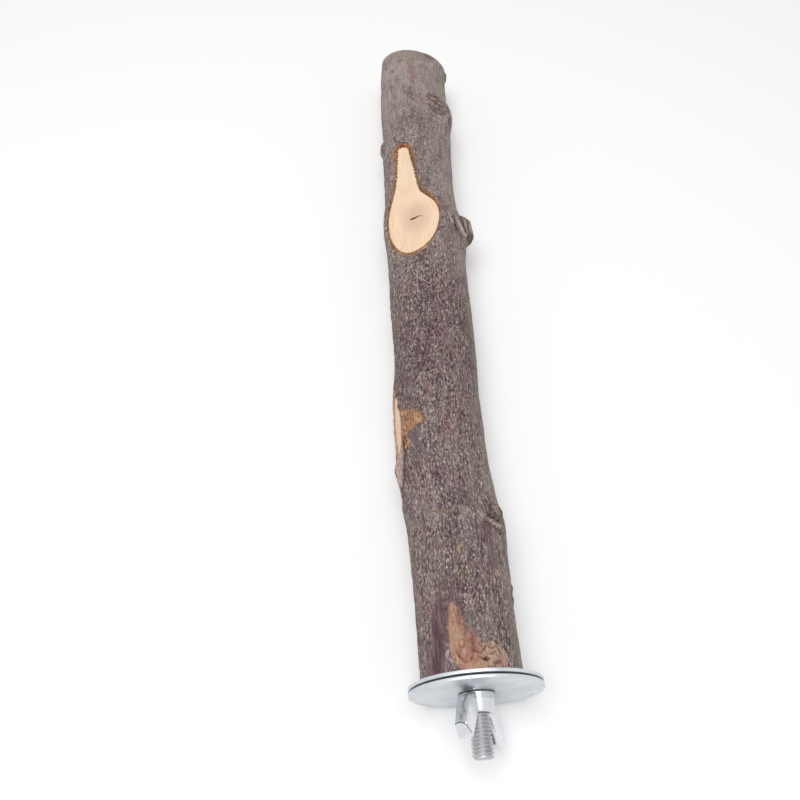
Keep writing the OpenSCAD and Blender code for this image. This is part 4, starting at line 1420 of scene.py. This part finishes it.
def makeNut():
    bore, top = nut["bore"], nut["hubHeight"]
    bm = bmesh.new()
    bmesh.ops.create_cone(bm, cap_ends=True, segments=72, radius1=nut["hubFoot"], radius2=nut["hubTop"], depth=top,
                          matrix=Matrix.Translation((0, 0, top / 2)))
    bevelEdges(bm, sharpEdges(bm.edges), nut["hubEdge"])
    for side in (1, -1):
        addWing(bm, side)
    bmesh.ops.recalc_face_normals(bm, faces=bm.faces)
    bm = applied(bm, "REMESH", mode="VOXEL", voxel_size=nut["voxel"], adaptivity=0)
    bmesh.ops.smooth_vert(bm, verts=bm.verts, factor=0.5, use_axis_x=True, use_axis_y=True, use_axis_z=True)
    # the bore, a little wider at both ends
    bm = boolean(bm, lathe([(0, -2), (bore + 2.6, -2), (bore + 0.35, 0.3), (bore, 0.7), (bore, top - 0.6),
                            (bore + 0.3, top - 0.2), (bore + 2.3, top + 2), (0, top + 2)], 64))
    # painted shade and painted reflections, stored for the material
    shade = bm.verts.layers.float.new("shade")
    for v in bm.verts:
        v[shade] = paintedShading(v.co)
    place = (Matrix.Rotation(math.radians(90), 4, "X") @ Matrix.Translation((0, 0, nut["seat"]))
             @ Matrix.Rotation(math.radians(-nut["turn"]), 4, "Z"))
    bmesh.ops.transform(bm, matrix=place, verts=bm.verts)
    return finishPiece(bm, "wingNutPiece", [zincMaterial("nutZinc", nut["colour"], 0.2, 0.12, 0.03, True)],
                       "wing_nut", "wing_nut")


nutPiece = makeNut()
print("wing nut ready")


# floor, light and camera, in metres

studio = {
    "middle": 0.13,            # the floor's and the lamp's aim, along the branch
    "floorSize": 6.0,
    "floorTone": 0.84,
    "floorLift": 0.2,          # near the perch
    "farLift": 0.8,
    "farFrom": (0.4, 1.6),     # where the floor turns all white
    "worldLight": 0.45,
    "lampPower": 4.3,
    "lampSize": 0.5,
    "lampPlace": (-0.12, 0.0, 0.8),
    "lens": 36.9,
    "cameraPlace": (-21.7, -49.3, 236.4),                        # in millimetres
    "cameraTurns": (("Z", -2.6), ("X", 31.45), ("Z", -1.2)),     # degrees
}


def isSeen(tree):
    # camera and mirror rays, which see the white surroundings
    path = tree.nodes.new("ShaderNodeLightPath")
    seen = math2(tree, "MAXIMUM", path.outputs["Is Camera Ray"], path.outputs["Is Glossy Ray"])
    return math2(tree, "MAXIMUM", seen, path.outputs["Is Transmission Ray"])


def makeFloor():
    bm = bmesh.new()
    bmesh.ops.create_grid(bm, x_segments=4, y_segments=4, size=studio["floorSize"] / 2)
    bmesh.ops.translate(bm, vec=(0, studio["middle"], floorLevel * mm), verts=bm.verts)
    floor = objectFrom(bm, "floor")
    material, tree = newMaterial("floorWhite")
    tone = studio["floorTone"]
    away = nodeOf(tree, "VectorMath", "Value", {0: nodeOf(tree, "TexCoord", "Object")}, operation="LENGTH")
    lift = between(tree, away, *studio["farFrom"], studio["floorLift"], studio["farLift"])
    diffuse = nodeOf(tree, "BsdfDiffuse", "BSDF", {"Color": (tone, tone, tone, 1)})
    glow = nodeOf(tree, "Emission", "Emission", {"Color": (1, 1, 1, 1), "Strength": times(tree, isSeen(tree), lift)})
    floor.data.materials.append(setSurface(material, nodeOf(tree, "AddShader", "Shader", {0: diffuse, 1: glow})))


def makeWorld():
    world = bpy.data.worlds.new("studio")
    bpy.context.scene.world = world
    world.use_nodes = True
    tree = world.node_tree
    background = tree.nodes["Background"]
    background.inputs["Color"].default_value = (1, 1, 1, 1)
    tree.links.new(math2(tree, "MAXIMUM", isSeen(tree), studio["worldLight"]), background.inputs["Strength"])


def makeLamp():
    lamp = bpy.data.lights.new("softbox", "AREA")
    lamp.energy = studio["lampPower"]
    lamp.size = studio["lampSize"]
    lampObject = bpy.data.objects.new("softbox", lamp)
    bpy.context.scene.collection.objects.link(lampObject)
    lampObject.location = studio["lampPlace"]
    aim = Vector((0, studio["middle"], 0)) - lampObject.location
    lampObject.rotation_euler = aim.to_track_quat("-Z", "Y").to_euler()


def makeCamera():
    camera = bpy.data.cameras.new("camera")
    camera.lens = studio["lens"]
    camera.sensor_width = 36
    camera.clip_start = 0.01
    cameraObject = bpy.data.objects.new("camera", camera)
    bpy.context.scene.collection.objects.link(cameraObject)
    place = Matrix.Translation(Vector(studio["cameraPlace"]) * mm)
    for axis, degrees in studio["cameraTurns"]:
        place = place @ Matrix.Rotation(math.radians(degrees), 4, axis)
    cameraObject.matrix_world = place
    bpy.context.scene.camera = cameraObject


makeFloor()
makeWorld()
makeLamp()
makeCamera()
bpy.context.scene.view_settings.view_transform = "Standard"
print("floor, light and camera ready")
